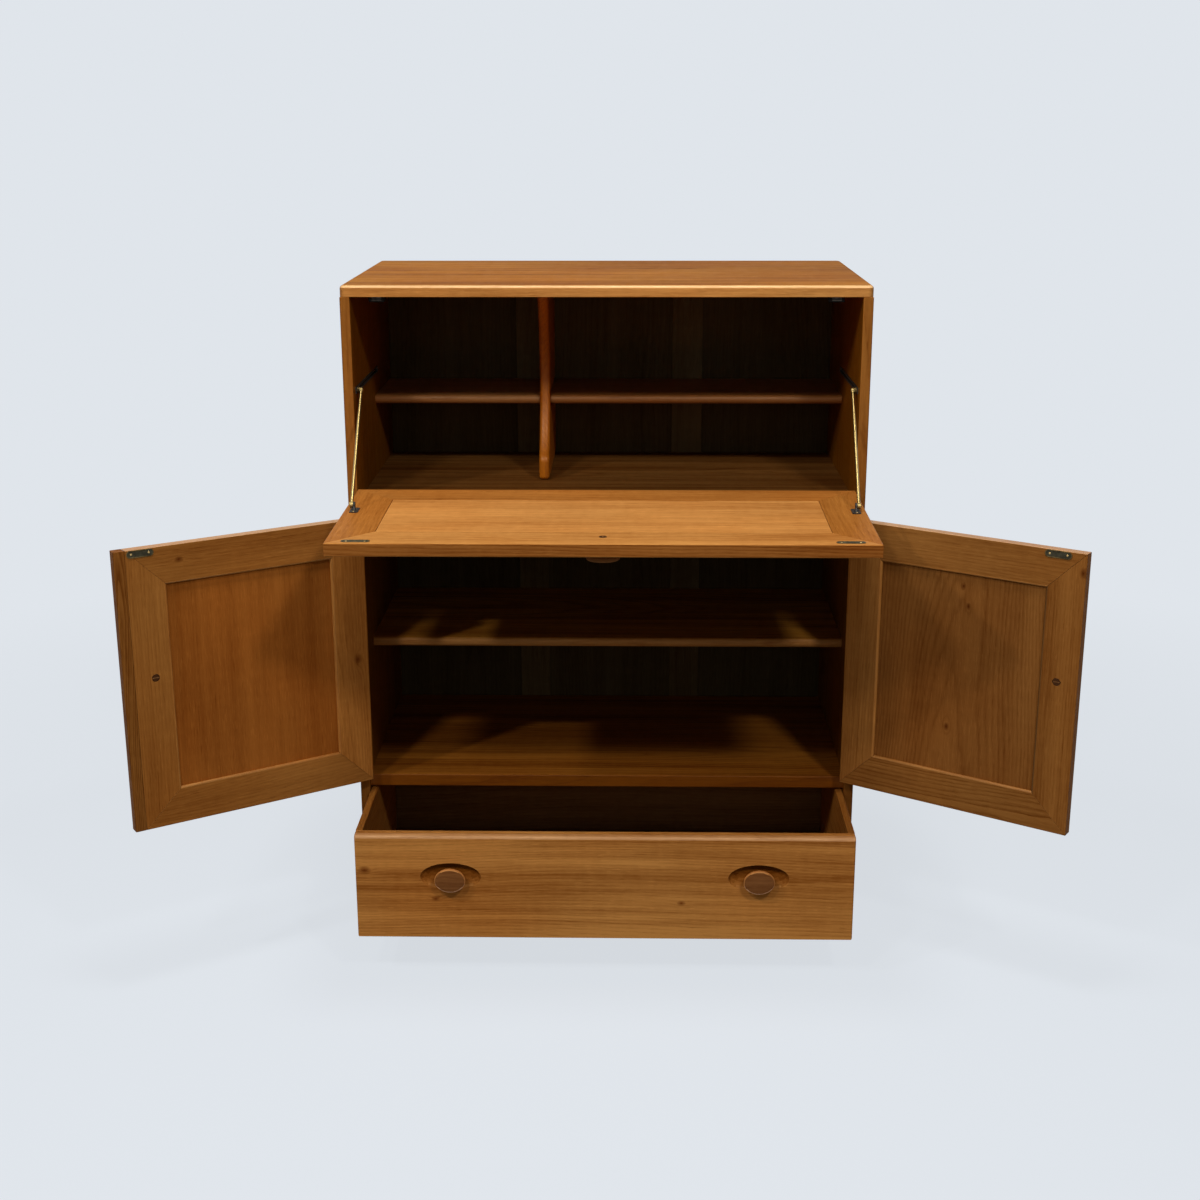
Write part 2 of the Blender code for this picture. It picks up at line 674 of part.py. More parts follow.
def flap():
    """Build the flap flat, with local -Y from the hinge to its front edge and Z through its thickness."""
    turn = Matrix.Rotation(FLAP_DROOP, 4, "X")
    axis = pivot("flap_axis", Matrix.Translation((0, FRONT, flap_axis_height())) @ turn)
    half = INNER - FLAP_GAP_END
    rear = -FLAP_GAP_BELOW / 2
    front = rear - (TOP_UNDER - BAR_TOP - FLAP_GAP_BELOW - FLAP_GAP_ABOVE)
    tongue_low = (FLAP_THICK - FLAP_PANEL_THICK) / 2
    inset = FLAP_MEMBER - FLAP_PANEL_TONGUE
    low = (-half + inset, front + inset, tongue_low)
    high = (half - inset, rear - inset, tongue_low + FLAP_PANEL_THICK)
    panel = box("flap_panel", low, high, "elm", axis)
    rim = FLAP_MEMBER + FLAP_FIELD_GAP
    field = box("flap_field", (-half + rim, front + rim, tongue_low + OVERLAP),
                (half - rim, rear - rim, FLAP_THICK - FLAP_FIELD_DROP), None, axis)
    join(panel, field)
    room = box("flap_panel_groove", Vector(low) - GAP * (X + Y + Z), Vector(high) + GAP * (X + Y + Z),
               None, axis)
    members = (
        ("flap_rail_front", (-half, front, 0), (half, front + FLAP_MEMBER, FLAP_THICK), X, Y),
        ("flap_rail_rear", (-half, rear - FLAP_MEMBER, 0), (half, rear, FLAP_THICK), X, -Y),
        ("flap_stile_left", (-half, front, 0), (-half + FLAP_MEMBER, rear, FLAP_THICK), Y, X),
        ("flap_stile_right", (half - FLAP_MEMBER, front, 0), (half, rear, FLAP_THICK), Y, -X),
    )
    for name, start, end, along, inward in members:
        member = box(name, start, end, "elm", axis)
        if name != "flap_rail_rear":
            round_edges(member, along, -inward, EDGE_ROUND)
        mitre(member, along, inward)
        cut(member, room)
    for side in (-1, 1):
        centre = Vector((side * (INNER - FLAP_HINGE_FROM_SIDE), 0, 0))
        reach = X * (HINGE_LENGTH / 2 + GAP)
        knuckle_room = cylinder("flap_knuckle_room", centre - reach, centre + reach,
                                KNUCKLE_RADIUS + GAP, parent=axis)
        cut(bpy.data.objects["flap_rail_rear"], knuckle_room)
    centre = Vector((0, front + FLAP_KNOB_EDGE, 0))
    cut(bpy.data.objects["flap_rail_front"], knob_hole("flap_knob", centre, -Z, FLAP_THICK, axis))
    knob("flap_knob", centre, -Z, X, FLAP_THICK, axis)
    stays(axis)


def stay_shape():
    """Return the rod's length and its slope in the open flap, from the bracket's pin to the slider."""
    pin = (-BRACKET_FROM_HINGE, FLAP_THICK + BRACKET_PIVOT_HEIGHT)
    pin_y = pin[0] * cos(FLAP_DROOP) - pin[1] * sin(FLAP_DROOP)
    pin_z = pin[0] * sin(FLAP_DROOP) + pin[1] * cos(FLAP_DROOP)
    run = SLIDER_START - pin_y
    rise = track_height() - flap_axis_height() - pin_z
    return hypot(run, rise), atan2(rise, run)


def stay_travel():
    """Return how far the rod turns on the flap and how far the slider runs when the flap shuts."""
    length, open_slope = stay_shape()
    closed_rise = track_height() - flap_axis_height() - BRACKET_FROM_HINGE
    closed_slope = asin(closed_rise / length)
    closed_start = FLAP_THICK + BRACKET_PIVOT_HEIGHT + length * cos(closed_slope)
    turn = closed_slope - open_slope + pi / 2 + FLAP_DROOP
    return turn, closed_start - SLIDER_START


def stays(axis):
    """Build the bracket and the rod of each stay; the rods' far eyes stop beside the sliders."""
    length, slope = stay_shape()
    pin_place = Vector((0, -BRACKET_FROM_HINGE, FLAP_THICK + BRACKET_PIVOT_HEIGHT))
    far_eye = track_face() - SLIDER_CLEARANCE - SLIDER_HEAD - ROD_EYE_CLEARANCE
    near_eye = INNER - PIVOT_INSET + ROD_EYE_THICK / 2
    for side, name in ((-1, "left"), (1, "right")):
        rod_axis = pivot("stay_rod_" + name + "_axis",
                         Matrix.Translation(pin_place) @ Matrix.Rotation(slope - FLAP_DROOP, 4, "X"))
        rod_axis.parent = axis
        tip = Vector((side * (far_eye - ROD_EYE_THICK / 2), length, 0))
        base = Vector((side * (near_eye - ROD_EYE_THICK / 2), 0, 0))
        rod = cylinder("stay_rod_" + name, base, tip, ROD_RADIUS, "brass", rod_axis, sides=16)
        half_eye = X * (ROD_EYE_THICK / 2)
        eyes = [cylinder("rod_eye_" + name, spot - half_eye, spot + half_eye, ROD_EYE_RADIUS,
                         parent=rod_axis) for spot in (base, tip)]
        hole = cylinder("rod_hole_" + name, base - 2 * half_eye, base + 2 * half_eye,
                        PIVOT_PIN_RADIUS + PIVOT_HOLE_CLEARANCE, parent=rod_axis, sides=16)
        join(rod, *eyes)
        cut(rod, hole)
        bracket(name, side, side * near_eye, axis)


def bracket(name, side, eye_face, axis):
    """Build a stay bracket: a base on the stile, and a lug whose pin passes through the rod's eye."""
    y = -BRACKET_FROM_HINGE
    inner = eye_face - side * (ROD_EYE_THICK + ROD_EYE_CLEARANCE)
    lug_far = inner - side * BRACKET_LUG
    pin_z = FLAP_THICK + BRACKET_PIVOT_HEIGHT
    base_low = FLAP_THICK + GAP
    middle = (inner + lug_far) / 2
    base_high = base_low + BRACKET_BASE
    base = box("stay_bracket_" + name, (middle - BRACKET_WIDE / 2, y - BRACKET_LONG / 2, base_low),
               (middle + BRACKET_WIDE / 2, y + BRACKET_LONG / 2, base_high), "dark_metal", axis)
    lug_low = base_low + BRACKET_BASE / 2
    lug = box("bracket_lug_" + name, (min(inner, lug_far), y - ROD_EYE_RADIUS, lug_low),
              (max(inner, lug_far), y + ROD_EYE_RADIUS, pin_z), None, axis)
    head = cylinder("bracket_head_" + name, (inner, y, pin_z), (lug_far, y, pin_z), ROD_EYE_RADIUS,
                    parent=axis)
    pin_end = eye_face + side * BRACKET_PIN_PROUD
    pin = cylinder("bracket_pin_" + name, (middle, y, pin_z), (pin_end, y, pin_z), PIVOT_PIN_RADIUS,
                   parent=axis, sides=16)
    join(base, lug, head, pin)


def doors():
    """Build both doors shut, each about its hinge pins, and swing them open."""
    for side, name in ((-1, "left"), (1, "right")):
        place = Matrix.Translation((side * door_pin_x(), FRONT - PIN_PROUD, 0))
        axis = pivot("door_" + name + "_axis", place @ Matrix.Rotation(side * DOOR_OPEN, 4, "Z"))
        door_leaf(name, side, axis)


def door_leaf(name, side, axis):
    """Build one door: a mitred frame with a panel, its knob, and the meeting strip on the left one."""
    inward = Vector((-side, 0, 0))
    near = DOOR_HINGE_GAP / 2
    far = near + DOOR_FRAME_WIDTH
    low_z = FLOOR_TOP + DOOR_GAP
    high_z = BAR_UNDER - DOOR_GAP
    face = PIN_PROUD

    def block(title, start, end, depth, heights, look=None):
        reach = sorted((inward.x * start, inward.x * end))
        return box(title, (reach[0], depth[0], heights[0]), (reach[1], depth[1], heights[1]), look, axis)

    inset = DOOR_MEMBER - DOOR_PANEL_TONGUE
    panel_low = face + (DOOR_THICK - DOOR_PANEL_THICK) / 2
    panel_depth = (panel_low, panel_low + DOOR_PANEL_THICK)
    block("door_" + name + "_panel", near + inset, far - inset, panel_depth,
          (low_z + inset, high_z - inset), "elm")
    room = block("door_groove_" + name, near + inset - GAP, far - inset + GAP,
                 (panel_depth[0] - GAP, panel_depth[1] + GAP), (low_z + inset - GAP, high_z - inset + GAP))
    depth = (face, face + DOOR_THICK)
    rows = (
        ("rail_top", near, far, (high_z - DOOR_MEMBER, high_z), X, -Z),
        ("rail_bottom", near, far, (low_z, low_z + DOOR_MEMBER), X, Z),
        ("stile_hinge", near, near + DOOR_MEMBER, (low_z, high_z), Z, inward),
        ("stile_free", far - DOOR_MEMBER, far, (low_z, high_z), Z, -inward),
    )
    for part, start, end, heights, along, to_panel in rows:
        member = block("door_" + name + "_" + part, start, end, depth, heights, "elm")
        if part == "stile_hinge":
            round_edges(member, along, -to_panel, DOOR_EDGE_ROUND)
        round_edges(member, along, to_panel, SIGHT_ROUND)
        mitre(member, along, to_panel)
        cut(member, room)
    for height in door_hinge_heights():
        reach = Z * (HINGE_LENGTH / 2 + GAP)
        spot = Z * height
        knuckle_room = cylinder("door_knuckle_room", spot - reach, spot + reach, KNUCKLE_RADIUS + GAP,
                                parent=axis)
        cut(bpy.data.objects["door_" + name + "_stile_hinge"], knuckle_room)
    if side < 0:
        strip = block("door_left_strip", far + GAP, far + STRIP_WIDTH, depth, (low_z, high_z), "elm_shade")
        round_edges(strip, Z, X, EDGE_ROUND)
    stile = bpy.data.objects["door_" + name + "_stile_free"]
    centre = inward * (far - DOOR_KNOB_EDGE) + Y * face + Z * (FLOOR_TOP + DOOR_KNOB_HEIGHT)
    cut(stile, knob_hole("door_knob_" + name, centre, -Y, DOOR_THICK, axis))
    knob("door_" + name + "_knob", centre, -Y, Z, DOOR_THICK, axis)


def drawer():
    """Build the drawer, pulled out by DRAWER_PULL; local Y is 0 at its front face."""
    slide = pivot("drawer_slide", Matrix.Translation((0, FRONT - DRAWER_PULL, 0)))
    half = INNER - DRAWER_GAP_END
    low = PLINTH_HEIGHT + DRAWER_GAP_BELOW
    high = FLOOR_UNDER - DRAWER_GAP_ABOVE
    front = box("drawer_front", (-half, 0, low), (half, DRAWER_FRONT_THICK, high), "elm", slide)
    round_edges(front, X, Z - Y, DRAWER_FRONT_ROUND, 4)
    bottom_low = low + DRAWER_BOTTOM_RAISE
    bottom_high = bottom_low + DRAWER_BOTTOM_THICK
    inner = half - DRAWER_WALL
    groove = inner + DRAWER_BOTTOM_GROOVE
    bottom = ((-groove + GAP, DRAWER_FRONT_THICK - DRAWER_BOTTOM_GROOVE + GAP, bottom_low),
              (groove - GAP, DRAWER_LENGTH, bottom_high))
    box("drawer_bottom", *bottom, "elm_shade", slide)
    room = box("drawer_bottom_groove", Vector(bottom[0]) - GAP * (X + Y + Z),
               Vector(bottom[1]) + GAP * (X + Z) + Y, None, slide)
    cut(front, room)
    wall_front = DRAWER_FRONT_THICK + GAP
    for side, name in ((-1, "left"), (1, "right")):
        outer = side * half
        wall = box("drawer_side_" + name, (min(outer, side * inner), wall_front, low),
                   (max(outer, side * inner), DRAWER_LENGTH, high), "elm", slide)
        tip = side * (half - RUNNER_GROOVE)
        past = side * (half + OVERRUN)
        runner_room = box("runner_groove_" + name,
                          (min(tip, past), RUNNER_SETBACK - RUNNER_CLEARANCE,
                           runner_low() - RUNNER_CLEARANCE),
                          (max(tip, past), DRAWER_LENGTH + OVERRUN,
                           runner_low() + RUNNER_HEIGHT + RUNNER_CLEARANCE), None, slide)
        cut(wall, room, runner_room)
        centre = Vector((side * (half - DRAWER_KNOB_FROM_END), 0, high - DRAWER_KNOB_DROP))
        cut(front, recess("drawer_recess_" + name, centre - Z * RECESS_DROP, slide))
        cut(front, knob_hole("drawer_knob_" + name, centre, -Y, DRAWER_FRONT_THICK, slide))
        knob("drawer_knob_" + name, centre, -Y, X, DRAWER_FRONT_THICK, slide)
    box("drawer_back", (-inner + GAP, DRAWER_LENGTH - DRAWER_WALL, bottom_high + GAP),
        (inner - GAP, DRAWER_LENGTH, high), "elm", slide)


for old in list(bpy.data.objects):
    bpy.data.objects.remove(old, do_unlink=True)
carcass()
runners()
tracks_and_sliders()
catches()
hinges()
flap()
doors()
drawer()
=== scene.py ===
from math import copysign, cos, pi, radians, sin

import bmesh
import bpy
from mathutils import Matrix, Vector


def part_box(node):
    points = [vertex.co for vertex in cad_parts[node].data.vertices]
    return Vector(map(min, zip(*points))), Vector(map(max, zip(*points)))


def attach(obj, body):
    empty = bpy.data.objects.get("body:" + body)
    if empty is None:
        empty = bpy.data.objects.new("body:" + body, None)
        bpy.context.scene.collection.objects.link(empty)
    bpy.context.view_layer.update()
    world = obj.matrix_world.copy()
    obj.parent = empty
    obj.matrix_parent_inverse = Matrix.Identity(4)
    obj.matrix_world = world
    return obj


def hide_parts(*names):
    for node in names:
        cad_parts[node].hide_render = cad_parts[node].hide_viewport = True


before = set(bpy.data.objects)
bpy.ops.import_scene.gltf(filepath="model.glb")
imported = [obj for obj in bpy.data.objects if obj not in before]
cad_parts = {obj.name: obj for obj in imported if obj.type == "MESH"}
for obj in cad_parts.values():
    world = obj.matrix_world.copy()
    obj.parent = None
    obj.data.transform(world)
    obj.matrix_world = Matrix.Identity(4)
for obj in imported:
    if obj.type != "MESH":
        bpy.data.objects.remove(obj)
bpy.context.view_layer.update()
X = Vector((1, 0, 0))
Y = Vector((0, 1, 0))
Z = Vector((0, 0, 1))

# The top is one wide elm board laid over the two sides, its grain along the cabinet. Its edges are
# rounded over, more above than below, its corners are eased in plan, and the whole board is planed,
# sanded and finished with a satin lacquer that lets the open pores show.
TOP_ROUND = 0.0055
TOP_CORNER = 0.009
TOP_UNDER = 0.0010
TOP_COLOUR = (0.350, 0.123, 0.011)
# The front face is painted lighter than the top, as painted light
TOP_FRONT_LIT_COLOUR = (0.53, 0.225, 0.054)
# The upper arris is painted paler still, as a painted highlight
TOP_HIGHLIGHT_COLOUR = (0.78, 0.41, 0.150)
# Two places nearer to each other than a hair are the same place
HAIR = 0.0001
# An edge that turns less than this shades smoothly
SMOOTH_UNDER = radians(46)
LACQUER_TINT = (1.0, 0.78, 0.52, 1.0)
BLUSH_COLOUR = (1.0, 0.88, 0.74, 1.0)
KNOT_COLOUR = (0.36, 0.22, 0.14, 1.0)
# Deep wood is not only darker than pale wood but redder
PALE_SHARES = (1.32, 1.48, 1.70)
DEEP_SHARES = (0.60, 0.50, 0.38)
# Each pattern's waves to the metre, along the grain and across it, then its detail and its roughness
PATTERNS = {
    "trunk": (1.3, 4.5, 1.0, 0.5), "ripple": (10.0, 60.0, 2.0, 0.5), "years": (0.7, 16.0, 1.0, 0.5),
    "pores": (40.0, 800.0, 1.0, 0.5), "glints": (60.0, 950.0, 1.0, 0.5), "fibre": (13.0, 290.0, 3.0, 0.6),
    "streak": (0.9, 38.0, 3.0, 0.55), "drift": (2.2, 7.0, 2.0, 0.5), "shimmer": (70.0, 26.0, 2.0, 0.5),
    "blush": (3.0, 5.0, 2.0, 0.5),
}


def wire(tree, sockets, values):
    """Link a socket, or type a number, text or colour, into each socket that is named."""
    for key, value in values.items():
        if isinstance(value, bpy.types.NodeSocket):
            tree.links.new(value, sockets[key])
        else:
            sockets[key].default_value = value


def add(tree, kind, values=None, **settings):
    """Add a node with its settings and with its inputs filled, and return its outputs."""
    added = tree.nodes.new(kind)
    for name, setting in settings.items():
        setattr(added, name, setting)
    wire(tree, added.inputs, values or {})
    return added.outputs


def figure(tree, operation, *values, clamp=False):
    """Add a Math node over sockets and numbers and return its result."""
    return add(tree, "ShaderNodeMath", dict(enumerate(values)), operation=operation, use_clamp=clamp)[0]


def shift(tree, operation, *values):
    """Add a Vector Math node over sockets and triples and return its result."""
    outputs = add(tree, "ShaderNodeVectorMath", dict(enumerate(values)), operation=operation)
    return outputs["Value"] if operation == "LENGTH" else outputs[0]


def cloud(tree, place, along, across, detail=2.0, roughness=0.5):
    """Add a Noise Texture, with so many waves to the metre along and across, and return its outputs."""
    stretched = shift(tree, "MULTIPLY", place, (along, across, across))
    return add(tree, "ShaderNodeTexNoise", {"Vector": stretched, "Scale": 1.0, "Detail": detail,
                                            "Roughness": roughness})


def tint(tree, mode, share, first, second):
    """Add a colour Mix node and return its result."""
    return add(tree, "ShaderNodeMix", {0: share, 6: first, 7: second}, data_type="RGBA", blend_type=mode,
               clamp_result=True)[2]


def elm_group():
    """Build the figure of an elm board: rings about a pith, pores, fibre, streaks and slow drift."""
    tree = bpy.data.node_groups.new("elm_figure", "ShaderNodeTree")
    for way, kind, names in (
            ("INPUT", "Vector", ("Place",)),
            ("INPUT", "Float", ("Seed", "Pith across", "Pith depth", "Ring width", "Taper", "Sway", "Line",
                                "Crisp", "Fibre", "Streak", "Drift", "Sap edge", "Sap", "Lift", "Knot")),
            ("INPUT", "Color", ("Pale", "Deep")),
            ("OUTPUT", "Color", ("Colour",)),
            ("OUTPUT", "Float", ("Roughness", "Height"))):
        for name in names:
            tree.interface.new_socket(name, in_out=way, socket_type="NodeSocket" + kind)
    given = tree.nodes.new("NodeGroupInput").outputs
    result = tree.nodes.new("NodeGroupOutput").inputs

    def less(value, other, clamp=False):
        return figure(tree, "SUBTRACT", value, other, clamp=clamp)

    def times(value, other, clamp=False):
        return figure(tree, "MULTIPLY", value, other, clamp=clamp)

    def plus(base, value, share, clamp=False):
        """Add a share of a value to a base."""
        return figure(tree, "MULTIPLY_ADD", value, share, base, clamp=clamp)

    # Each board is cut from its own part of the tree
    cut = {number: times(given["Seed"], share) for number, share in enumerate((1.7, 3.1, 0.9))}
    place = shift(tree, "ADD", given["Place"], add(tree, "ShaderNodeCombineXYZ", cut)[0])

    def pattern(name):
        """Return a pattern's value, less its middle, so that it swings either side of nothing."""
        return less(cloud(tree, place, *PATTERNS[name])["Fac"], 0.5)

    def flecks(name, over):
        """Return the few high places of a pattern as sharp flecks."""
        return times(less(cloud(tree, place, *PATTERNS[name])["Fac"], over), 7.0, clamp=True)

    # The trunk's slow bends carry the rings about, and small ripples roughen them
    bend = shift(tree, "SUBTRACT", cloud(tree, place, *PATTERNS["trunk"])["Color"], (0.5, 0.5, 0.5))
    reach = add(tree, "ShaderNodeCombineXYZ", {1: given["Sway"], 2: given["Sway"]})[0]
    bent = shift(tree, "ADD", given["Place"], shift(tree, "MULTIPLY", bend, reach))
    run, across, depth = add(tree, "ShaderNodeSeparateXYZ", {0: bent})
    out = less(across, given["Pith across"])
    down = less(depth, given["Pith depth"])
    radius = plus(figure(tree, "SQRT", plus(times(down, down), out, out)), pattern("ripple"), 0.0035)
    radius = figure(tree, "ADD", plus(radius, run, given["Taper"]), given["Lift"])

    # Good and poor years make wide and narrow rings; each opens with a line of large dark pores, and other
    # pores are painted with pale flecks as painted glints of the lacquer standing in them
    years = plus(figure(tree, "DIVIDE", radius, given["Ring width"]), pattern("years"), 2.2)
    season = figure(tree, "FRACT", years)
    dice = add(tree, "ShaderNodeTexWhiteNoise", {"W": figure(tree, "FLOOR", years)}, noise_dimensions="1D")
    strong = plus(0.35, dice["Value"], 0.65)
    spring = figure(tree, "POWER", less(1.0, season), given["Crisp"])
    autumn = times(figure(tree, "POWER", season, 5.0), 0.8)
    ring = times(figure(tree, "MAXIMUM", spring, autumn), strong)
    pores = times(flecks("pores", 0.56), plus(0.3, ring, 0.7))
    glints = flecks("glints", 0.57)
    fibre, streak, drift, shimmer = map(pattern, ("fibre", "streak", "drift", "shimmer"))
    sap = times(less(given["Sap edge"], across), 90.0, clamp=True)

    tone = 0.36
    for value, share in ((ring, given["Line"]), (pores, 0.34), (glints, -0.26), (fibre, given["Fibre"]),
                         (streak, given["Streak"]), (drift, given["Drift"]), (shimmer, 0.20)):
        tone = plus(tone, value, share)
    tone = less(tone, times(sap, given["Sap"]), clamp=True)
    wood = tint(tree, "MIX", tone, given["Pale"], given["Deep"])
    wood = tint(tree, "MULTIPLY", plus(0.35, pattern("blush"), 2.4, clamp=True), wood, BLUSH_COLOUR)
    sheen = plus(plus(0.42, fibre, 0.20), shimmer, 0.08)
    height = plus(times(pores, -1.0), ring, -0.35)
    wire(tree, result, {"Colour": tint(tree, "MULTIPLY", given["Knot"], wood, KNOT_COLOUR),
                        "Roughness": plus(sheen, pores, 0.22, clamp=True),
                        "Height": plus(height, fibre, 0.9)})
    return tree


ELM = elm_group()


def finish(name):
    """Start a material and return it with its tree and its shader's inputs."""
    material = bpy.data.materials.new(name)
    material.use_nodes = True
    return material, material.node_tree, material.node_tree.nodes["Principled BSDF"].inputs


def elm(name, middle, along, across, colour, seed, pith=(0.03, -0.06), ring=0.0042, taper=0.012,
        sway=0.05, line=0.34, crisp=1.8, fibre=0.75, streak=0.9, drift=0.9, sap=(0.0, 0.0), knots=(),
        gloss=0.012):
    """Make the lacquered elm of one board, of a mean colour, with its grain laid along the board."""
    material, tree, shader = finish(name)
    turn = Matrix((along, across, along.cross(across))).transposed().to_euler()
    laid = add(tree, "ShaderNodeMapping", {"Vector": add(tree, "ShaderNodeTexCoord")["Object"],
                                           "Location": middle, "Rotation": turn}, vector_type="TEXTURE")[0]
    values = {"Place": laid, "Seed": seed, "Pith across": pith[0], "Pith depth": pith[1], "Ring width": ring,
              "Taper": taper, "Sway": sway, "Line": line, "Crisp": crisp, "Fibre": fibre,
              "Streak": streak, "Drift": drift, "Sap edge": sap[0], "Sap": sap[1]}
    for socket, shares in (("Pale", PALE_SHARES), ("Deep", DEEP_SHARES)):
        values[socket] = (*(channel * share for channel, share in zip(colour, shares)), 1.0)
    for number, (knot_along, knot_across, size) in enumerate(knots):
        # A knot pushes the rings aside, in a long swelling, about a small dark heart
        away = shift(tree, "SUBTRACT", laid, (knot_along, knot_across, 0.0))
        swell = shift(tree, "LENGTH", shift(tree, "MULTIPLY", away, (0.22 / size, 0.5 / size, 0.0)))
        push = figure(tree, "MULTIPLY", figure(tree, "EXPONENT", figure(tree, "MULTIPLY", swell, -2.2)),
                      2.4 * size)
        heart = shift(tree, "LENGTH", shift(tree, "MULTIPLY", away, (0.7 / size, 1.0 / size, 0.0)))
        spot = figure(tree, "MULTIPLY_ADD", heart, -0.75, 1.05, clamp=True)
        values["Lift"] = figure(tree, "ADD", values["Lift"], push) if number else push
        values["Knot"] = figure(tree, "MAXIMUM", values["Knot"], spot) if number else spot
    board = add(tree, "ShaderNodeGroup", values, node_tree=ELM)
    bump = add(tree, "ShaderNodeBump", {"Strength": 0.35, "Distance": 0.0004, "Height": board["Height"]})
    wire(tree, shader, {"Base Color": board["Colour"], "Roughness": board["Roughness"], "Normal": bump[0],
                        "Specular IOR Level": gloss, "Specular Tint": LACQUER_TINT})
    return material


def mesh_of(name, shape):
    """Turn a bmesh into a mesh."""
    mesh = bpy.data.meshes.new(name)
    shape.to_mesh(mesh)
    shape.free()
    return mesh


def bmesh_of(mesh):
    """Turn a mesh into a bmesh."""
    shape = bmesh.new()
    shape.from_mesh(mesh)
    bpy.data.meshes.remove(mesh)
    return shape


def stood(name, data):
    """Put a new object in the scene."""
    obj = bpy.data.objects.new(name, data)
    bpy.context.scene.collection.objects.link(obj)
    return obj


def worked(obj):
    """Return an object's mesh as its modifiers leave it."""
    graph = bpy.context.evaluated_depsgraph_get()
    return bpy.data.meshes.new_from_object(obj.evaluated_get(graph))


def made(name, shape, *materials):
    """Turn a bmesh into a piece whose broad faces stay flat and whose rounds shade smoothly."""
    mesh = mesh_of(name, shape)
    for material in materials:
        mesh.materials.append(material)
    mesh.shade_smooth()
    mesh.set_sharp_from_angle(angle=SMOOTH_UNDER)
    obj = stood(name, mesh)
    obj.modifiers.new("Normals", "WEIGHTED_NORMAL").keep_sharp = True
    obj.data = worked(obj)
    obj.modifiers.clear()
    bpy.data.meshes.remove(mesh)
    obj.data.name = name
    return obj


def refaced(piece, material, chosen):
    """Give the faces that a test picks, by their normal and middle, another material."""
    piece.data.materials.append(material)
    last = len(piece.data.materials) - 1
    for side in piece.data.polygons:
        if chosen(side.normal, side.center):
            side.material_index = last


def block(low, high):
    """Return a bmesh of the box between two corners."""
    shape = bmesh.new()
    bmesh.ops.create_cube(shape, size=1.0)
    low = Vector(low)
    high = Vector(high)
    bmesh.ops.scale(shape, vec=high - low, verts=shape.verts)
    bmesh.ops.translate(shape, vec=(low + high) / 2, verts=shape.verts)
    return shape


def round_over(shape, chosen, radius, segments):
    """Round the edges that a test picks by their ends."""
    edges = [edge for edge in shape.edges if chosen(*(vert.co for vert in edge.verts))]
    bmesh.ops.bevel(shape, geom=edges, offset=radius, segments=segments, profile=0.5, affect="EDGES")


low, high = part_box("top_panel")
middle = (low + high) / 2
shape = block(low, high)
round_over(shape, lambda a, b: abs(a.z - b.z) > HAIR, TOP_CORNER, 6)
round_over(shape, lambda a, b: min(a.z, b.z) > high.z - HAIR, TOP_ROUND, 5)
round_over(shape, lambda a, b: max(a.z, b.z) < low.z + HAIR, TOP_UNDER, 3)
wood = elm("top_elm", middle, X, Y, TOP_COLOUR, 3.0, pith=(0.06, -0.11), ring=0.006, sway=0.09, line=0.45,
           streak=1.5, drift=1.7, gloss=0.004)
top = made("top_board", shape, wood)
# The front face is painted lighter than the top, as painted light falling on it
front = elm("top_edge_elm", middle, X, Z, TOP_FRONT_LIT_COLOUR, 3.0, ring=0.006, sway=0.03, gloss=0.1)
refaced(top, front, lambda normal, spot: spot.y < low.y + TOP_ROUND and normal.z < 0.25)
# The upper arris is painted paler and glossier, as a painted highlight of the light from above
painted_highlight = elm("top_highlight_elm", middle, X, Y, TOP_HIGHLIGHT_COLOUR, 3.0, line=0.2, gloss=0.9)
refaced(top, painted_highlight, lambda normal, spot: spot.y < low.y + TOP_ROUND and 0.25 < normal.z < 0.97)
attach(top, "carcass")
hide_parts("top_panel")

# The sides stand on the floor and carry everything else, so their grain runs upright. The boards sit
# in housings cut across them, and their arrises are only just taken off.
SIDE_ARRIS = 0.0006
SIDE_COLOUR = (0.30, 0.104, 0.017)
SIDE_INNER_SHADE_COLOUR = (0.168, 0.052, 0.003)
SIDES = (
    ("left_side", 11.0, (-0.05, 0.09), X),
    ("right_side", 19.0, (0.07, 0.06), -X),
)
# The least that parts two faces, and the least that parts two corners of the CAD's triangles
SKIN = 0.00002
# What lies this near to the outermost place of a board is on the board's outside
OUTSIDE = 0.0003


def carved(shape, tools):
    """Cut other bmeshes out of a bmesh, as a chisel lets in a hinge, and return the new bmesh."""
    blank = stood("blank", mesh_of("blank", shape))
    cutters = [stood("chisel", mesh_of("chisel", tool)) for tool in tools]
    for cutter in cutters:
        step = blank.modifiers.new("Pocket", "BOOLEAN")
        step.object = cutter
        step.solver = "EXACT"
    shape = bmesh_of(worked(blank))
    for spare in cutters + [blank]:
        bpy.data.meshes.remove(spare.data)
    return shape


def outermost(shape, edge, direction):
    """Say whether an edge lies on the side of a shape that faces a direction."""
    reach = max(vert.co.dot(direction) for vert in shape.verts)
    return all(reach - vert.co.dot(direction) < OUTSIDE for vert in edge.verts)


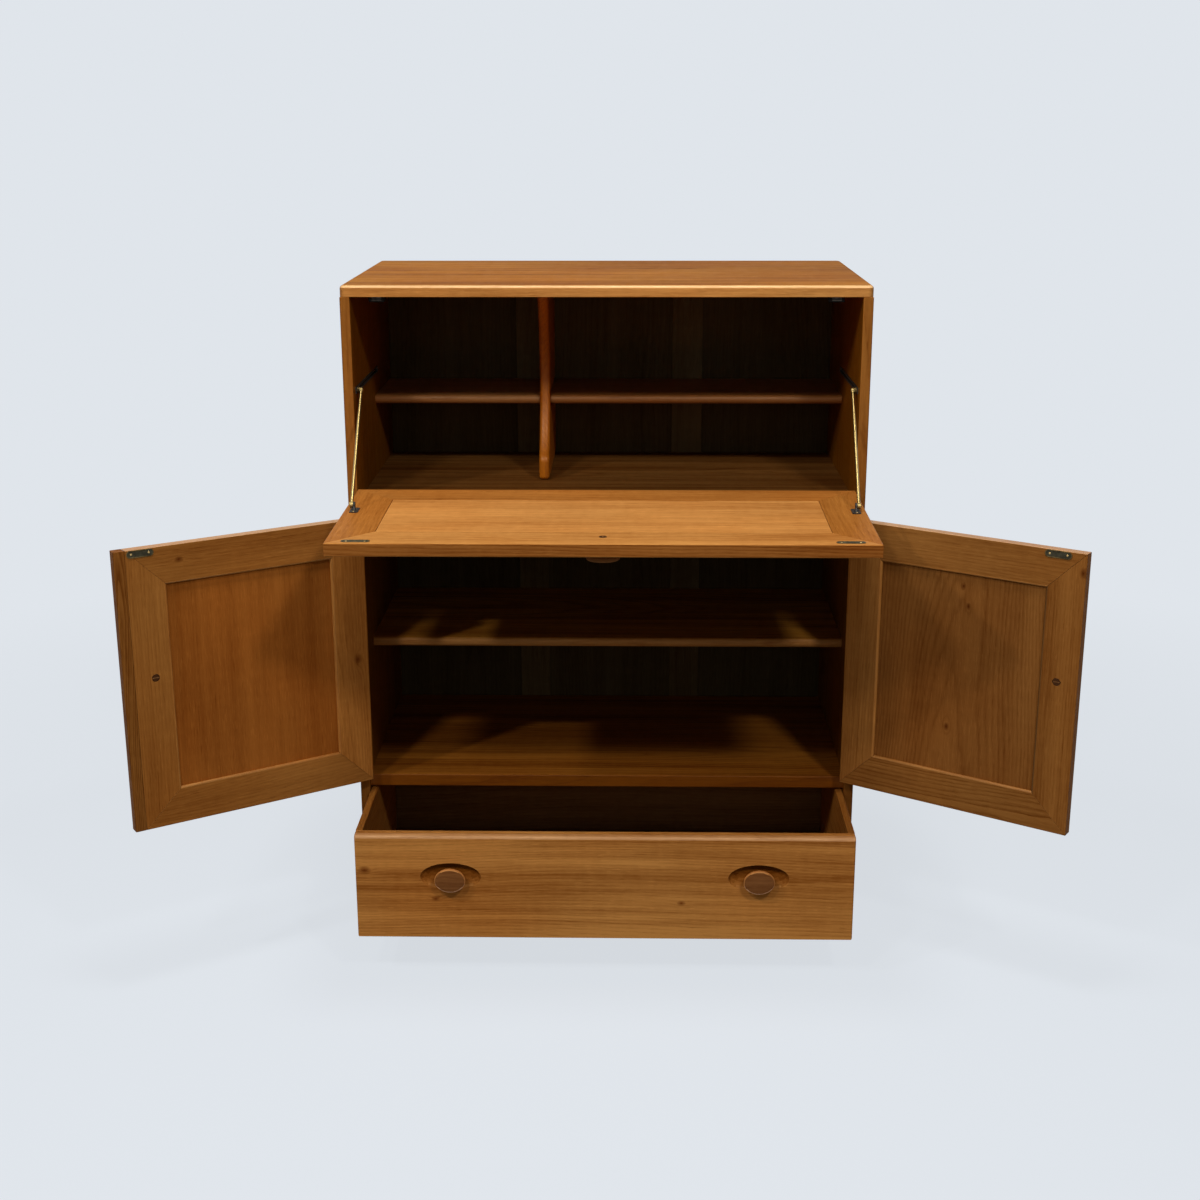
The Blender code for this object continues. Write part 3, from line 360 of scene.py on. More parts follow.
def eased(shape, name, arris, *materials, joint=None, grain=None, moulded=None):
    """Take off a shape's outer arrises, as a sanded board's are, and make it a piece.

    Joint is the arris across the grain, and moulded gives the direction in which the edges with a
    fuller round face, the direction through the board, and that round's radius.
    """
    weights = shape.edges.layers.float.new("bevel_weight_edge")
    fullest = moulded[2] if moulded else arris
    for edge in shape.edges:
        if len(edge.link_faces) == 2 and edge.is_convex and edge.calc_face_angle() > radians(40):
            run = (edge.verts[1].co - edge.verts[0].co).normalized()
            with_grain = grain is None or abs(run.dot(grain)) > 0.99
            edge[weights] = (arris if with_grain else joint) / fullest
            if moulded and with_grain and outermost(shape, edge, moulded[0]):
                if outermost(shape, edge, moulded[1]) or outermost(shape, edge, -moulded[1]):
                    edge[weights] = 1.0
    mesh = mesh_of(name, shape)
    obj = stood(name, mesh)
    ease = obj.modifiers.new("Arris", "BEVEL")
    ease.limit_method = "WEIGHT"
    ease.width = fullest
    ease.segments = 5 if moulded else 2
    ease.use_clamp_overlap = False
    worn = worked(obj)
    bpy.data.meshes.remove(mesh)
    return made(name, bmesh_of(worn), *materials)


def planed(node, name, arris, *materials, pockets=(), **edges):
    """Copy a CAD piece, join its triangles into whole faces, cut its pockets and ease its arrises."""
    shape = bmesh.new()
    shape.from_mesh(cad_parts[node].data)
    bmesh.ops.remove_doubles(shape, verts=shape.verts, dist=SKIN)
    bmesh.ops.dissolve_limit(shape, angle_limit=radians(0.5), verts=shape.verts, edges=shape.edges)
    if pockets:
        shape = carved(shape, pockets)
    return eased(shape, name, arris, *materials, **edges)


def board_elm(node, along, across, colour, seed, ending="_elm", **drawn):
    """Make the elm of the board that stands for a CAD piece, laid about that piece's middle."""
    low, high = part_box(node)
    return elm(node + ending, (low + high) / 2, along, across, colour, seed, **drawn)


for node, seed, pith, inward in SIDES:
    wood = board_elm(node, Z, Y, SIDE_COLOUR, seed, pith=pith, sway=0.07)
    panel = planed(node, node + "_board", SIDE_ARRIS, wood)
    # The inner face is painted darker and redder than the rest, as painted shade inside the cabinet
    shaded = board_elm(node, Z, Y, SIDE_INNER_SHADE_COLOUR, seed, "_inner_elm", pith=pith, sway=0.07)
    refaced(panel, shaded, lambda normal, spot: normal.dot(inward) > 0.9)
    upper_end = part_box(node)[1].z
    for vert in panel.data.vertices:
        # The end is glued hard up against the top, and no light comes through the joint
        if vert.co.z > upper_end - HAIR:
            vert.co.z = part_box("top_panel")[0].z - SKIN
    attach(panel, "carcass")
    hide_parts(node)

# The bar board, the cupboard's floor and shelf, and the plinth are solid elm along the cabinet. Their
# ends are glued into the sides' housings, and their front edges are rounded where a hand meets them.
BOARD_ARRIS = 0.0006
BOARDS = (
    ("bar_board", (0.165, 0.062, 0.0125), 23.0, (0.05, -0.07), Y,
     {"line": 0.55, "crisp": 2.8, "ring": 0.0065, "streak": 2.4, "sway": 0.10}),
    ("cupboard_floor", (0.25, 0.080, 0.0085), 29.0, (-0.08, -0.05), Y,
     {"line": 0.60, "crisp": 3.0, "ring": 0.0075, "streak": 2.6, "sway": 0.12}),
    ("cupboard_shelf", (0.40, 0.160, 0.020), 31.0, (0.02, -0.09), Y,
     {"line": 0.50, "crisp": 2.4, "ring": 0.0060, "streak": 2.0, "sway": 0.09}),
    ("plinth", (0.33, 0.125, 0.024), 37.0, (0.0, -0.05), Z, {"streak": 1.3, "sway": 0.09}),
)
# The listed front edges are painted in their own colour: the shelf's lighter, as painted light where the light
# meets it, and the floor's darker, as painted shade
EDGE_LIGHT_AND_SHADE_COLOURS = {"cupboard_shelf": (0.50, 0.205, 0.046), "cupboard_floor": (0.195, 0.049, 0.003)}
for node, colour, seed, pith, across, drawn in BOARDS:
    wood = board_elm(node, X, across, colour, seed, pith=pith, **drawn)
    board = planed(node, node + "_wood", BOARD_ARRIS, wood)
    if node in EDGE_LIGHT_AND_SHADE_COLOURS:
        painted_light_and_shade = board_elm(node, X, Z, EDGE_LIGHT_AND_SHADE_COLOURS[node], seed, "_edge_elm", gloss=0.2)
        refaced(board, painted_light_and_shade, lambda normal, spot: normal.y < -0.5)
    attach(board, "carcass")
    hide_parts(node)

# The back is framed: two upright muntins, grooved down both edges, hold three thin panels that can
# shrink and swell. It is the plainest and darkest wood in the cabinet.
BACK_ARRIS = 0.0008
BACK_COLOUR = (0.107, 0.071, 0.028)
BACK = (
    ("back_muntin_left", 41.0, 1.40),
    ("back_muntin_right", 43.0, 1.40),
    ("back_panel_left", 47.0, 0.85),
    ("back_panel_centre", 53.0, 1.0),
    ("back_panel_right", 59.0, 0.9),
)
for node, seed, lightness in BACK:
    colour = [channel * lightness for channel in BACK_COLOUR]
    wood = board_elm(node, Z, X, colour, seed, pith=(0.02, -0.12), line=0.25, fibre=0.45)
    board = planed(node, node + "_wood", BACK_ARRIS, wood)
    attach(board, "carcass")
    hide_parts(node)

# The divider stands left of the middle, with a front edge scooped like a spandrel and rounded to the
# hand; the two upper shelves are housed into it and into the sides.
DIVIDER_ARRIS = 0.0058
SHELF_ARRIS = 0.0006
SHELF_NOSE = 0.0050
DIVIDER_COLOUR = (0.47, 0.122, 0.004)
UPPER_SHELVES = (
    ("upper_shelf_left", (0.31, 0.117, 0.029), 67.0),
    ("upper_shelf_right", (0.25, 0.083, 0.017), 71.0),
)
wood = board_elm("divider", Z, Y, DIVIDER_COLOUR, 61.0, pith=(0.05, -0.06), gloss=0.5)
divider = planed("divider", "divider_wood", DIVIDER_ARRIS, wood)
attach(divider, "carcass")
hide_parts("divider")
for node, colour, seed in UPPER_SHELVES:
    wood = board_elm(node, X, Y, colour, seed, pith=(0.04, -0.07), gloss=0.5)
    shelf = planed(node, node + "_wood", SHELF_ARRIS, wood, joint=SHELF_ARRIS, grain=X,
                   moulded=(-Y, Z, SHELF_NOSE))
    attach(shelf, "carcass")
    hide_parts(node)

# The drawer runs on two hardwood strips, glued and pinned along the sides and left plain. They are let
# into grooves in the drawer's own sides.
RUNNER_ARRIS = 0.0005
RUNNER_COLOUR = (0.36, 0.17, 0.055)
for node, seed in (("drawer_runner_left", 73.0), ("drawer_runner_right", 79.0)):
    wood = board_elm(node, Y, Z, RUNNER_COLOUR, seed, ring=0.004, line=0.25)
    runner = planed(node, node + "_wood", RUNNER_ARRIS, wood)
    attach(runner, "carcass")
    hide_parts(node)

# The stays' tracks are slotted steel strips, browned and let into the sides. A brass slider with a
# round button runs in each, held by a tongue in the slot.
METAL_EASE = 0.0003
PATCH_WAVES = 140.0
SPECK_WAVES = 2600.0


def metal(name, bright, dull, roughness, metallic=1.0, sheen=0.5):
    """Make a worked metal that age has dulled in patches."""
    material, tree, shader = finish(name)
    where = add(tree, "ShaderNodeTexCoord")["Object"]
    patch = cloud(tree, where, PATCH_WAVES, PATCH_WAVES, 3.0, 0.6)["Fac"]
    speck = cloud(tree, where, SPECK_WAVES, SPECK_WAVES)["Fac"]
    age = figure(tree, "MULTIPLY_ADD", patch, 2.6, -0.85, clamp=True)
    rough = figure(tree, "MULTIPLY_ADD", patch, 0.30, roughness - 0.15)
    bump = add(tree, "ShaderNodeBump", {"Strength": 0.25, "Distance": 0.00008, "Height": speck})
    wire(tree, shader, {"Base Color": tint(tree, "MIX", age, (*bright, 1.0), (*dull, 1.0)),
                        "Roughness": figure(tree, "MULTIPLY_ADD", speck, 0.08, rough), "Normal": bump[0],
                        "Metallic": metallic, "Specular IOR Level": sheen})
    return material


BRASS = metal("brass", (0.74, 0.52, 0.22), (0.40, 0.25, 0.085), 0.32)
AGED_BRASS = metal("aged_brass", (0.20, 0.125, 0.045), (0.050, 0.034, 0.015), 0.42)
BROWNED = metal("browned_steel", (0.040, 0.032, 0.024), (0.016, 0.012, 0.009), 0.50, metallic=0.3)
for side in ("left", "right"):
    track = planed("stay_track_" + side, "track_" + side, METAL_EASE, BROWNED)
    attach(track, "carcass")
    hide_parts("stay_track_" + side)
    slider = planed("stay_slider_" + side, "slider_" + side, METAL_EASE, AGED_BRASS)
    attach(slider, "slider_" + side)
    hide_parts("stay_slider_" + side)

# Magnetic catches, browned cases with two soft iron bars in the working face, hold what is shut: two
# under the top for the flap, and one under the bar board for each door.
CATCH_EASE = 0.0012
BAR_PROUD = 0.0005
BAR_HALF = 0.0010
BAR_END = 0.005
BAR_SEAT = 0.002
BAR_LEVELS = (0.32, 0.68)
DOOR_CATCHES = (
    ("door_catch_left", (-0.0535, -0.0195, 0.7215), (-0.0115, -0.0055, 0.7317)),
    ("door_catch_right", (0.0325, -0.0195, 0.7215), (0.0745, -0.0055, 0.7317)),
)
CATCH_BLACK = metal("catch_black", (0.016, 0.015, 0.013), (0.008, 0.007, 0.006), 0.60, metallic=0.0,
                    sheen=0.10)
BAR_IRON = metal("bar_iron", (0.16, 0.155, 0.135), (0.055, 0.050, 0.040), 0.50, metallic=0.2, sheen=0.2)


def join(shape, other):
    """Add one bmesh to another."""
    spare = mesh_of("spare", other)
    shape.from_mesh(spare)
    bpy.data.meshes.remove(spare)


def catch_case(name, low, high):
    """Build a catch: a rounded case with two iron bars standing a little out of its front face."""
    face = low.y + BAR_PROUD
    shape = block((low.x, face, low.z), high)
    round_over(shape, lambda a, b: True, CATCH_EASE, 3)
    for share in BAR_LEVELS:
        level = low.z + (high.z - low.z) * share
        bar = block((low.x + BAR_END, low.y, level - BAR_HALF),
                    (high.x - BAR_END, face + BAR_SEAT, level + BAR_HALF))
        for side in bar.faces:
            side.material_index = 1
        join(shape, bar)
    return made(name, shape, CATCH_BLACK, BAR_IRON)


for side in ("left", "right"):
    catch = catch_case("catch_" + side, *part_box("flap_catch_" + side))
    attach(catch, "carcass")
    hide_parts("flap_catch_" + side)
for name, low, high in DOOR_CATCHES:
    catch = catch_case(name, Vector(low), Vector(high))
    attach(catch, "carcass")

# The butt hinges are solid drawn brass: five knuckles on one pin, three on the cabinet's leaf and two
# on the leaf that is let into the moving edge. Each door has two, and so has the flap.
KNUCKLE = 0.0025
LEAF = 0.0010
LEAF_PAST_PIN = 0.00045
LEAF_START = KNUCKLE * 0.5
LEAF_GAP = 0.0003
KNUCKLE_SPLIT = 0.00012
KNUCKLE_EASE = 0.00025
HINGE_SHARES = (-0.5, -0.3, -0.1, 0.1, 0.3, 0.5)


def barrels(shape, pin, along, length, first):
    """Add every other knuckle of a hinge to a bmesh, about the pin."""
    turn = along.to_track_quat("Z", "Y").to_matrix().to_4x4()
    for number in range(first, 5, 2):
        start = HINGE_SHARES[number] * length + KNUCKLE_SPLIT * (number > 0)
        end = HINGE_SHARES[number + 1] * length - KNUCKLE_SPLIT * (number < 4)
        place = Matrix.Translation(pin + along * (start + end) / 2) @ turn
        bmesh.ops.create_cone(shape, cap_ends=True, segments=24, radius1=KNUCKLE, radius2=KNUCKLE,
                              depth=end - start, matrix=place)
    edges = [edge for edge in shape.edges if edge.calc_face_angle(0.0) > radians(60)]
    bmesh.ops.bevel(shape, geom=edges, offset=KNUCKLE_EASE, segments=2, profile=0.5, affect="EDGES")


door_pins = {"left": [], "right": []}
for side, sign in (("left", -1), ("right", 1)):
    for end in ("bottom", "top"):
        node = "door_hinge_" + side + "_" + end
        low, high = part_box(node)
        reach = max(abs(low.x), abs(high.x)) - KNUCKLE
        pin = Vector((sign * reach, low.y + KNUCKLE, (low.z + high.z) / 2))
        near, far = sorted((sign * (reach + LEAF_PAST_PIN), sign * (reach + LEAF_PAST_PIN - LEAF)))
        shape = bmesh.new()
        barrels(shape, pin, Z, high.z - low.z, 0)
        join(shape, block((near, pin.y + LEAF_START, low.z), (far, high.y, high.z)))
        hinge = made(node + "_fixed", shape, BRASS)
        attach(hinge, "carcass")
        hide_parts(node)
        door_pins[side].append((end, pin, high.z - low.z))
flap_leaf_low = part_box("bar_board")[1].z + LEAF_GAP
for side in ("left", "right"):
    node = "flap_hinge_" + side
    low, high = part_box(node)
    pin = Vector(((low.x + high.x) / 2, low.y + KNUCKLE, high.z - KNUCKLE))
    shape = bmesh.new()
    barrels(shape, pin, X, high.x - low.x, 0)
    join(shape, block((low.x, pin.y + LEAF_START, flap_leaf_low), (high.x, high.y, flap_leaf_low + LEAF)))
    hinge = made(node + "_fixed", shape, BRASS)
    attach(hinge, "carcass")
    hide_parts(node)
    shape = bmesh.new()
    barrels(shape, pin, X, high.x - low.x, 1)
    hinge = made(node + "_moving", shape, BRASS)
    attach(hinge, "flap")

# The flap is a mitred frame, grooved for a broad fielded panel that lies nearly flush. Its boards are
# the palest in the cabinet; the rails and the panel run along it and the stiles across.
FLAP_AXIS = Vector((0.0, -0.039, 0.75385))
FLAP_TURN = Matrix.Rotation(radians(1.25), 3, "X")
FLAP_FRONT = -0.32355
FLAP_THICK = 0.020
FLAP_COLOUR = (0.525, 0.211, 0.047)
FLAP_EDGE_COLOUR = (0.38, 0.127, 0.023)
# A darker board is a redder one too
DARKENING = (1.0, 1.5, 2.5)
FLAP_ARRIS = 0.0008
FLAP_PANEL_ARRIS = 0.0005
MITRE_ARRIS = 0.00025
flap_along = FLAP_TURN @ Y
flap_up = FLAP_TURN @ Z
FLAP_BOARDS = (
    ("flap_panel", X, flap_along, 83.0, (0.10, -0.10), FLAP_PANEL_ARRIS, 1.05),
    ("flap_rail_front", X, flap_along, 89.0, (0.05, -0.08), FLAP_ARRIS, 1.0),
    ("flap_rail_rear", X, flap_along, 97.0, (-0.05, -0.06), FLAP_ARRIS, 0.78),
    ("flap_stile_left", flap_along, -X, 101.0, (0.05, -0.07), FLAP_ARRIS, 0.74),
    ("flap_stile_right", flap_along, -X, 103.0, (-0.05, -0.07), FLAP_ARRIS, 0.70),
)
for node, along, across, seed, pith, arris, lightness in FLAP_BOARDS:
    colour = [channel * lightness ** power for channel, power in zip(FLAP_COLOUR, DARKENING)]
    wood = board_elm(node, along, across, colour, seed, pith=pith)
    board = planed(node, node + "_wood", arris, wood, joint=MITRE_ARRIS, grain=along)
    if node == "flap_rail_front":
        # The front face of the front rail is darker, and shows the rings as close lines
        tone_and_shade = board_elm(node, X, flap_up, FLAP_EDGE_COLOUR, seed, "_edge_elm", pith=(-0.04, -0.03),
                            ring=0.0032, line=0.85)
        refaced(board, tone_and_shade, lambda normal, spot: normal.dot(-flap_along) > 0.8)
    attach(board, "flap")
    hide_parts(node)

# The knobs are turned discs of darker elm, shaped to an oval, with a nearly flat face over an edge that
# rounds away behind it. Each stands on a round spigot that runs through the wood and is spread by a
# wedge driven into its far end.
KNOB_LONG = 0.0248
KNOB_SHORT = 0.0202
KNOB_STEPS = 48
SPIGOT = 0.0058
SPIGOT_EASE = 0.0004
SPIGOT_PROUD = 0.00005
# Inside this radius the knob and its spigot are round
ROUND_WITHIN = 0.0075
WEDGE_HALF_THIN = 0.0007
WEDGE_HALF_WIDE = 0.0049
WEDGE_DEEP = 0.005
WEDGE_PROUD = 0.00012
# The heights over the wood above which the rim is painted paler: as a painted highlight along its top and all
# round, and as a painted reflection below
RIM_ABOVE = 0.005
RIM_ROUND = 0.011
RIM_BELOW = 0.0125
FLAP_KNOB_IN = 0.040
KNOB_COLOUR = (0.240, 0.084, 0.022)
RIM_HIGHLIGHT_COLOUR = (0.58, 0.22, 0.050)
LOWER_RIM_REFLECTION_COLOUR = (0.74, 0.36, 0.16)
FLAP_KNOB_COLOUR = (0.22, 0.080, 0.020)
FLAP_RIM_HIGHLIGHT_COLOUR = (0.26, 0.095, 0.024)
WEDGE_COLOUR = (0.22, 0.095, 0.032)
END_GRAIN_COLOUR = (0.075, 0.028, 0.010)
KNOB_PROFILE = (
    (0.0, 0.01480), (0.0060, 0.01477), (0.0120, 0.01468), (0.0170, 0.01454), (0.0204, 0.01434),
    (0.0224, 0.01404), (0.0235, 0.01360), (0.0242, 0.01300), (0.0247, 0.01210), (KNOB_LONG, 0.01090),
    (0.0246, 0.00930), (0.0240, 0.00770), (0.0231, 0.00620), (0.0218, 0.00500), (0.0200, 0.00420),
    (0.0176, 0.00400), (0.0074, 0.00400), (0.0062, 0.00370), (SPIGOT, 0.00300),
)


def knob(name, middle, outward, long_axis, thick, seed, colour=KNOB_COLOUR, rim_highlight_colour=RIM_HIGHLIGHT_COLOUR,
         rim_gloss=0.5):
    """Turn a knob about its spigot, from a drawn profile, and return its body and its wedge."""
    short_axis = outward.cross(long_axis)
    shape = bmesh.new()
    rings = []
    tip = (SPIGOT - SPIGOT_EASE, -thick - SPIGOT_PROUD)
    for radius, height in KNOB_PROFILE[1:] + ((SPIGOT, -thick), tip):
        oval = 1.0 if radius < ROUND_WITHIN else KNOB_SHORT / KNOB_LONG
        ring = []
        for step in range(KNOB_STEPS):
            angle = 2 * pi * step / KNOB_STEPS
            spot = long_axis * (radius * cos(angle)) + short_axis * (radius * oval * sin(angle))
            ring.append(shape.verts.new(middle + spot + outward * height))
        rings.append(ring)
    crown = shape.verts.new(middle + outward * KNOB_PROFILE[0][1])
    for step in range(KNOB_STEPS):
        after = (step + 1) % KNOB_STEPS
        shape.faces.new((crown, rings[0][step], rings[0][after]))
        for upper, lower in zip(rings, rings[1:]):
            shape.faces.new((upper[step], lower[step], lower[after], upper[after]))
    shape.faces.new(rings[-1][::-1])
    bmesh.ops.recalc_face_normals(shape, faces=shape.faces)
    turned = elm(name + "_elm", middle, long_axis, short_axis, colour, seed, ring=0.003, line=0.5, gloss=0.1)
    body = made(name + "_turned", shape, turned)

    def high(spot):
        """Return the height over the wood of a place on the knob."""
        return (spot - middle).dot(outward)

    # The rim is painted paler than the flat face, as a painted highlight, most of all along its top
    rim = elm(name + "_rim_elm", middle, long_axis, short_axis, rim_highlight_colour, seed, ring=0.003, gloss=rim_gloss)
    refaced(body, rim, lambda normal, spot:
            -0.3 < normal.dot(outward) < 0.96 and normal.z > 0.35 and high(spot) > RIM_ABOVE
            or 0.30 < normal.dot(outward) < 0.85 and high(spot) > RIM_ROUND)
    if abs(outward.z) < 0.5:
        # Below, the rounded edge is painted pale, as a painted reflection of the light that comes up from the
        # floor
        lower = elm(name + "_lower_elm", middle, long_axis, short_axis, LOWER_RIM_REFLECTION_COLOUR, seed, ring=0.003,
                    gloss=0.6)
        refaced(body, lower, lambda normal, spot: 0.30 < normal.dot(outward) < 0.975 and normal.z < -0.22
                and high(spot) > RIM_BELOW)
    end_grain = elm(name + "_end_elm", middle, outward, short_axis, END_GRAIN_COLOUR, seed, ring=0.0015)
    refaced(body, end_grain, lambda normal, spot: high(spot) < -0.9 * thick)
    driven = block((-WEDGE_HALF_THIN, -WEDGE_HALF_WIDE, -thick - SPIGOT_PROUD - WEDGE_PROUD),
                   (WEDGE_HALF_THIN, WEDGE_HALF_WIDE, WEDGE_DEEP - thick))
    round_over(driven, lambda a, b: True, HAIR, 1)
    turn = Matrix((long_axis, short_axis, outward)).transposed().to_4x4()
    bmesh.ops.transform(driven, matrix=Matrix.Translation(middle) @ turn, verts=driven.verts)
    wood = elm(name + "_wedge_elm", middle, outward, short_axis, WEDGE_COLOUR, seed + 1.0, ring=0.002)
    return body, made(name + "_wedge", driven, wood)


middle = FLAP_AXIS + FLAP_TURN @ Vector((0.0, FLAP_FRONT + FLAP_KNOB_IN, 0.0))
for piece in knob("flap_knob", middle, -flap_up, X, FLAP_THICK, 131.0, FLAP_KNOB_COLOUR, FLAP_RIM_HIGHLIGHT_COLOUR,
                  rim_gloss=0.05):
    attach(piece, "flap")
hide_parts("flap_knob")

# Each stay is a round brass rod with a flattened eye at both ends. The lower eye turns on the pin of a
# browned steel bracket that is screwed to the flap's stile.
ROD_BRASS = metal("rod_brass", (0.39, 0.275, 0.098), (0.33, 0.230, 0.080), 0.32)
for side in ("left", "right"):
    rod = planed("stay_rod_" + side, "rod_" + side, METAL_EASE, ROD_BRASS)
    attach(rod, "rod_" + side)
    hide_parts("stay_rod_" + side)
    bracket = planed("stay_bracket_" + side, "bracket_" + side, METAL_EASE, BROWNED)
    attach(bracket, "flap")
    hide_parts("stay_bracket_" + side)

# The catches pull on small plates, dark iron in a brass rim with round ends: two on the flap's front
# rail, and one at the top of each door's free stile.
PLATE_LONG = 0.042
PLATE_WIDE = 0.012
PLATE_THICK = 0.0008
PLATE_BED = 0.00005
PLATE_EASE = 0.0002
PLATE_RIM = 0.0013
PLATE_SINK = 0.0004
PLATE_STEPS = 12
PLATE_SCREW = 0.0135
PLATE_HEAD = 0.0016
FLAP_PLATE_X = 0.3535
FLAP_PLATE_IN = 0.0115
IRON = metal("iron", (0.085, 0.076, 0.046), (0.038, 0.034, 0.021), 0.60, metallic=0.0, sheen=0.04)


def skinned(shape, rings):
    """Join each ring of corners to the next one with faces."""
    for first, second in zip(rings, rings[1:]):
        for step, corner in enumerate(first):
            after = (step + 1) % len(first)
            shape.faces.new((corner, first[after], second[after], second[step]))


def catch_plate(name, middle, along, normal):
    """Build a plate with round ends and a sunk field, flat on the wood whose face points to normal."""
    across = normal.cross(along)
    radius = PLATE_WIDE / 2
    straight = PLATE_LONG / 2 - radius
    shape = bmesh.new()
    loops = []
    for inset, height in ((0.0, PLATE_BED), (0.0, PLATE_THICK - PLATE_EASE), (PLATE_EASE, PLATE_THICK),
                          (PLATE_RIM, PLATE_THICK), (PLATE_RIM + PLATE_EASE, PLATE_THICK - PLATE_SINK)):
        loop = []
        for end in (1, -1):
            for step in range(PLATE_STEPS + 1):
                angle = -pi / 2 + pi * step / PLATE_STEPS
                reach = radius - inset
                spot = along * end * (straight + reach * cos(angle)) + across * end * reach * sin(angle)
                loop.append(shape.verts.new(middle + spot + normal * height))
        loops.append(loop)
    skinned(shape, loops)
    shape.faces.new(loops[-1]).material_index = 1
    shape.faces.new(loops[0][::-1])
    bmesh.ops.recalc_face_normals(shape, faces=shape.faces)
    return made(name, shape, AGED_BRASS, IRON)


screw_spots = {"carcass": [], "flap": [], "door_left": [], "door_right": []}
for side, sign in (("left", -1), ("right", 1)):
    spot = Vector((sign * FLAP_PLATE_X, FLAP_FRONT + FLAP_PLATE_IN, FLAP_THICK))
    middle = FLAP_AXIS + FLAP_TURN @ spot
    plate = catch_plate("flap_plate_" + side, middle, X, flap_up)
    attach(plate, "flap")
    for end in (-1, 1):
        head = middle + X * end * PLATE_SCREW + flap_up * PLATE_SINK
        screw_spots["flap"].append((head, flap_up, PLATE_HEAD))

# Each door is a mitred frame about a panel that sits deep in it, behind a small rounded sight edge.
# Both stand open by the same angle; the left one carries the strip that covers the meeting gap.
DOOR_OPEN = radians(146.5)
DOOR_ARRIS = 0.0008
PANEL_ARRIS = 0.0005
STRIP_ARRIS = 0.0006
SIGHT_ROUND = 0.0042
# How far from the hinge's pin the door's near and far edges lie, and its outer face
DOOR_NEAR = 0.00075
DOOR_FAR = 0.38855
DOOR_FACE = 0.0015
DOOR_THICK = 0.0175
DOOR_KNOB_OUT = 0.35605
DOOR_KNOB_UP = 0.5255
DOOR_PLATE_UP = 0.7235
DOORS = (
    ("left", -1, (0.345, 0.102, 0.0145), (0.340, 0.120, 0.0215), 0.3655),
    ("right", 1, (0.257, 0.091, 0.0180), (0.300, 0.111, 0.0220), 0.3445),
)
# Each knot's place on the door, along its board's grain and across it, and its size
DOOR_KNOTS = {
    "door_left_stile_hinge": ((0.496, 0.021, 0.006),),
    "door_left_rail_top": ((0.307, 0.706, 0.004),),
    "door_right_stile_free": ((0.700, 0.384, 0.005),),
    "door_right_panel": ((0.650, 0.197, 0.0035), (0.619, 0.207, 0.0035), (0.416, 0.182, 0.004)),
}
DOOR_FIGURE = {
    "door_left_panel": {"line": 0.10, "fibre": 0.26, "streak": 0.85, "drift": 1.5, "sway": 0.08},
    "door_right_panel": {"line": 0.46, "crisp": 3.2, "fibre": 0.40, "streak": 0.7, "taper": 0.036,
                         "sway": 0.10},
    "door_left_rail_bottom": {"line": 0.30, "crisp": 3.0, "fibre": 0.6, "sway": 0.08},
    "door_right_rail_bottom": {"line": 0.80, "crisp": 2.6, "fibre": 0.6, "sway": 0.10},
}
# The hinge stiles are painted lighter, as painted light that lifts the shade the flap casts on them
HINGE_STILE_PAINTED_LIGHT = {"door_left_stile_hinge": 1.40, "door_right_stile_hinge": 1.10}
STRIP_COLOUR = (0.272, 0.096, 0.0172)
DOOR_TOP_HIGHLIGHT_COLOUR = (0.50, 0.235, 0.080)
BEAD_HIGHLIGHT_COLOUR = (0.43, 0.160, 0.028)
BEAD_PAINTED_SHADE = {"door_right_stile_free": 0.30, "door_right_rail_bottom": 0.75, "door_left_rail_bottom": 0.85}
LET_IN = 0.0009
LEAF_WIDE = 0.0145
POCKET_OPEN = 0.004
HINGE_SCREW = 0.0032
HINGE_SCREW_SUNK = 0.00089
HINGE_SCREW_APART = 0.016
FIXED_SCREW_IN = 0.0105
MOVING_SCREW_IN = 0.0085
TONGUE_FROM = 0.012
TONGUE_TO = 0.080
TONGUE_WIDE = 0.012
TONGUE_THICK = 0.003
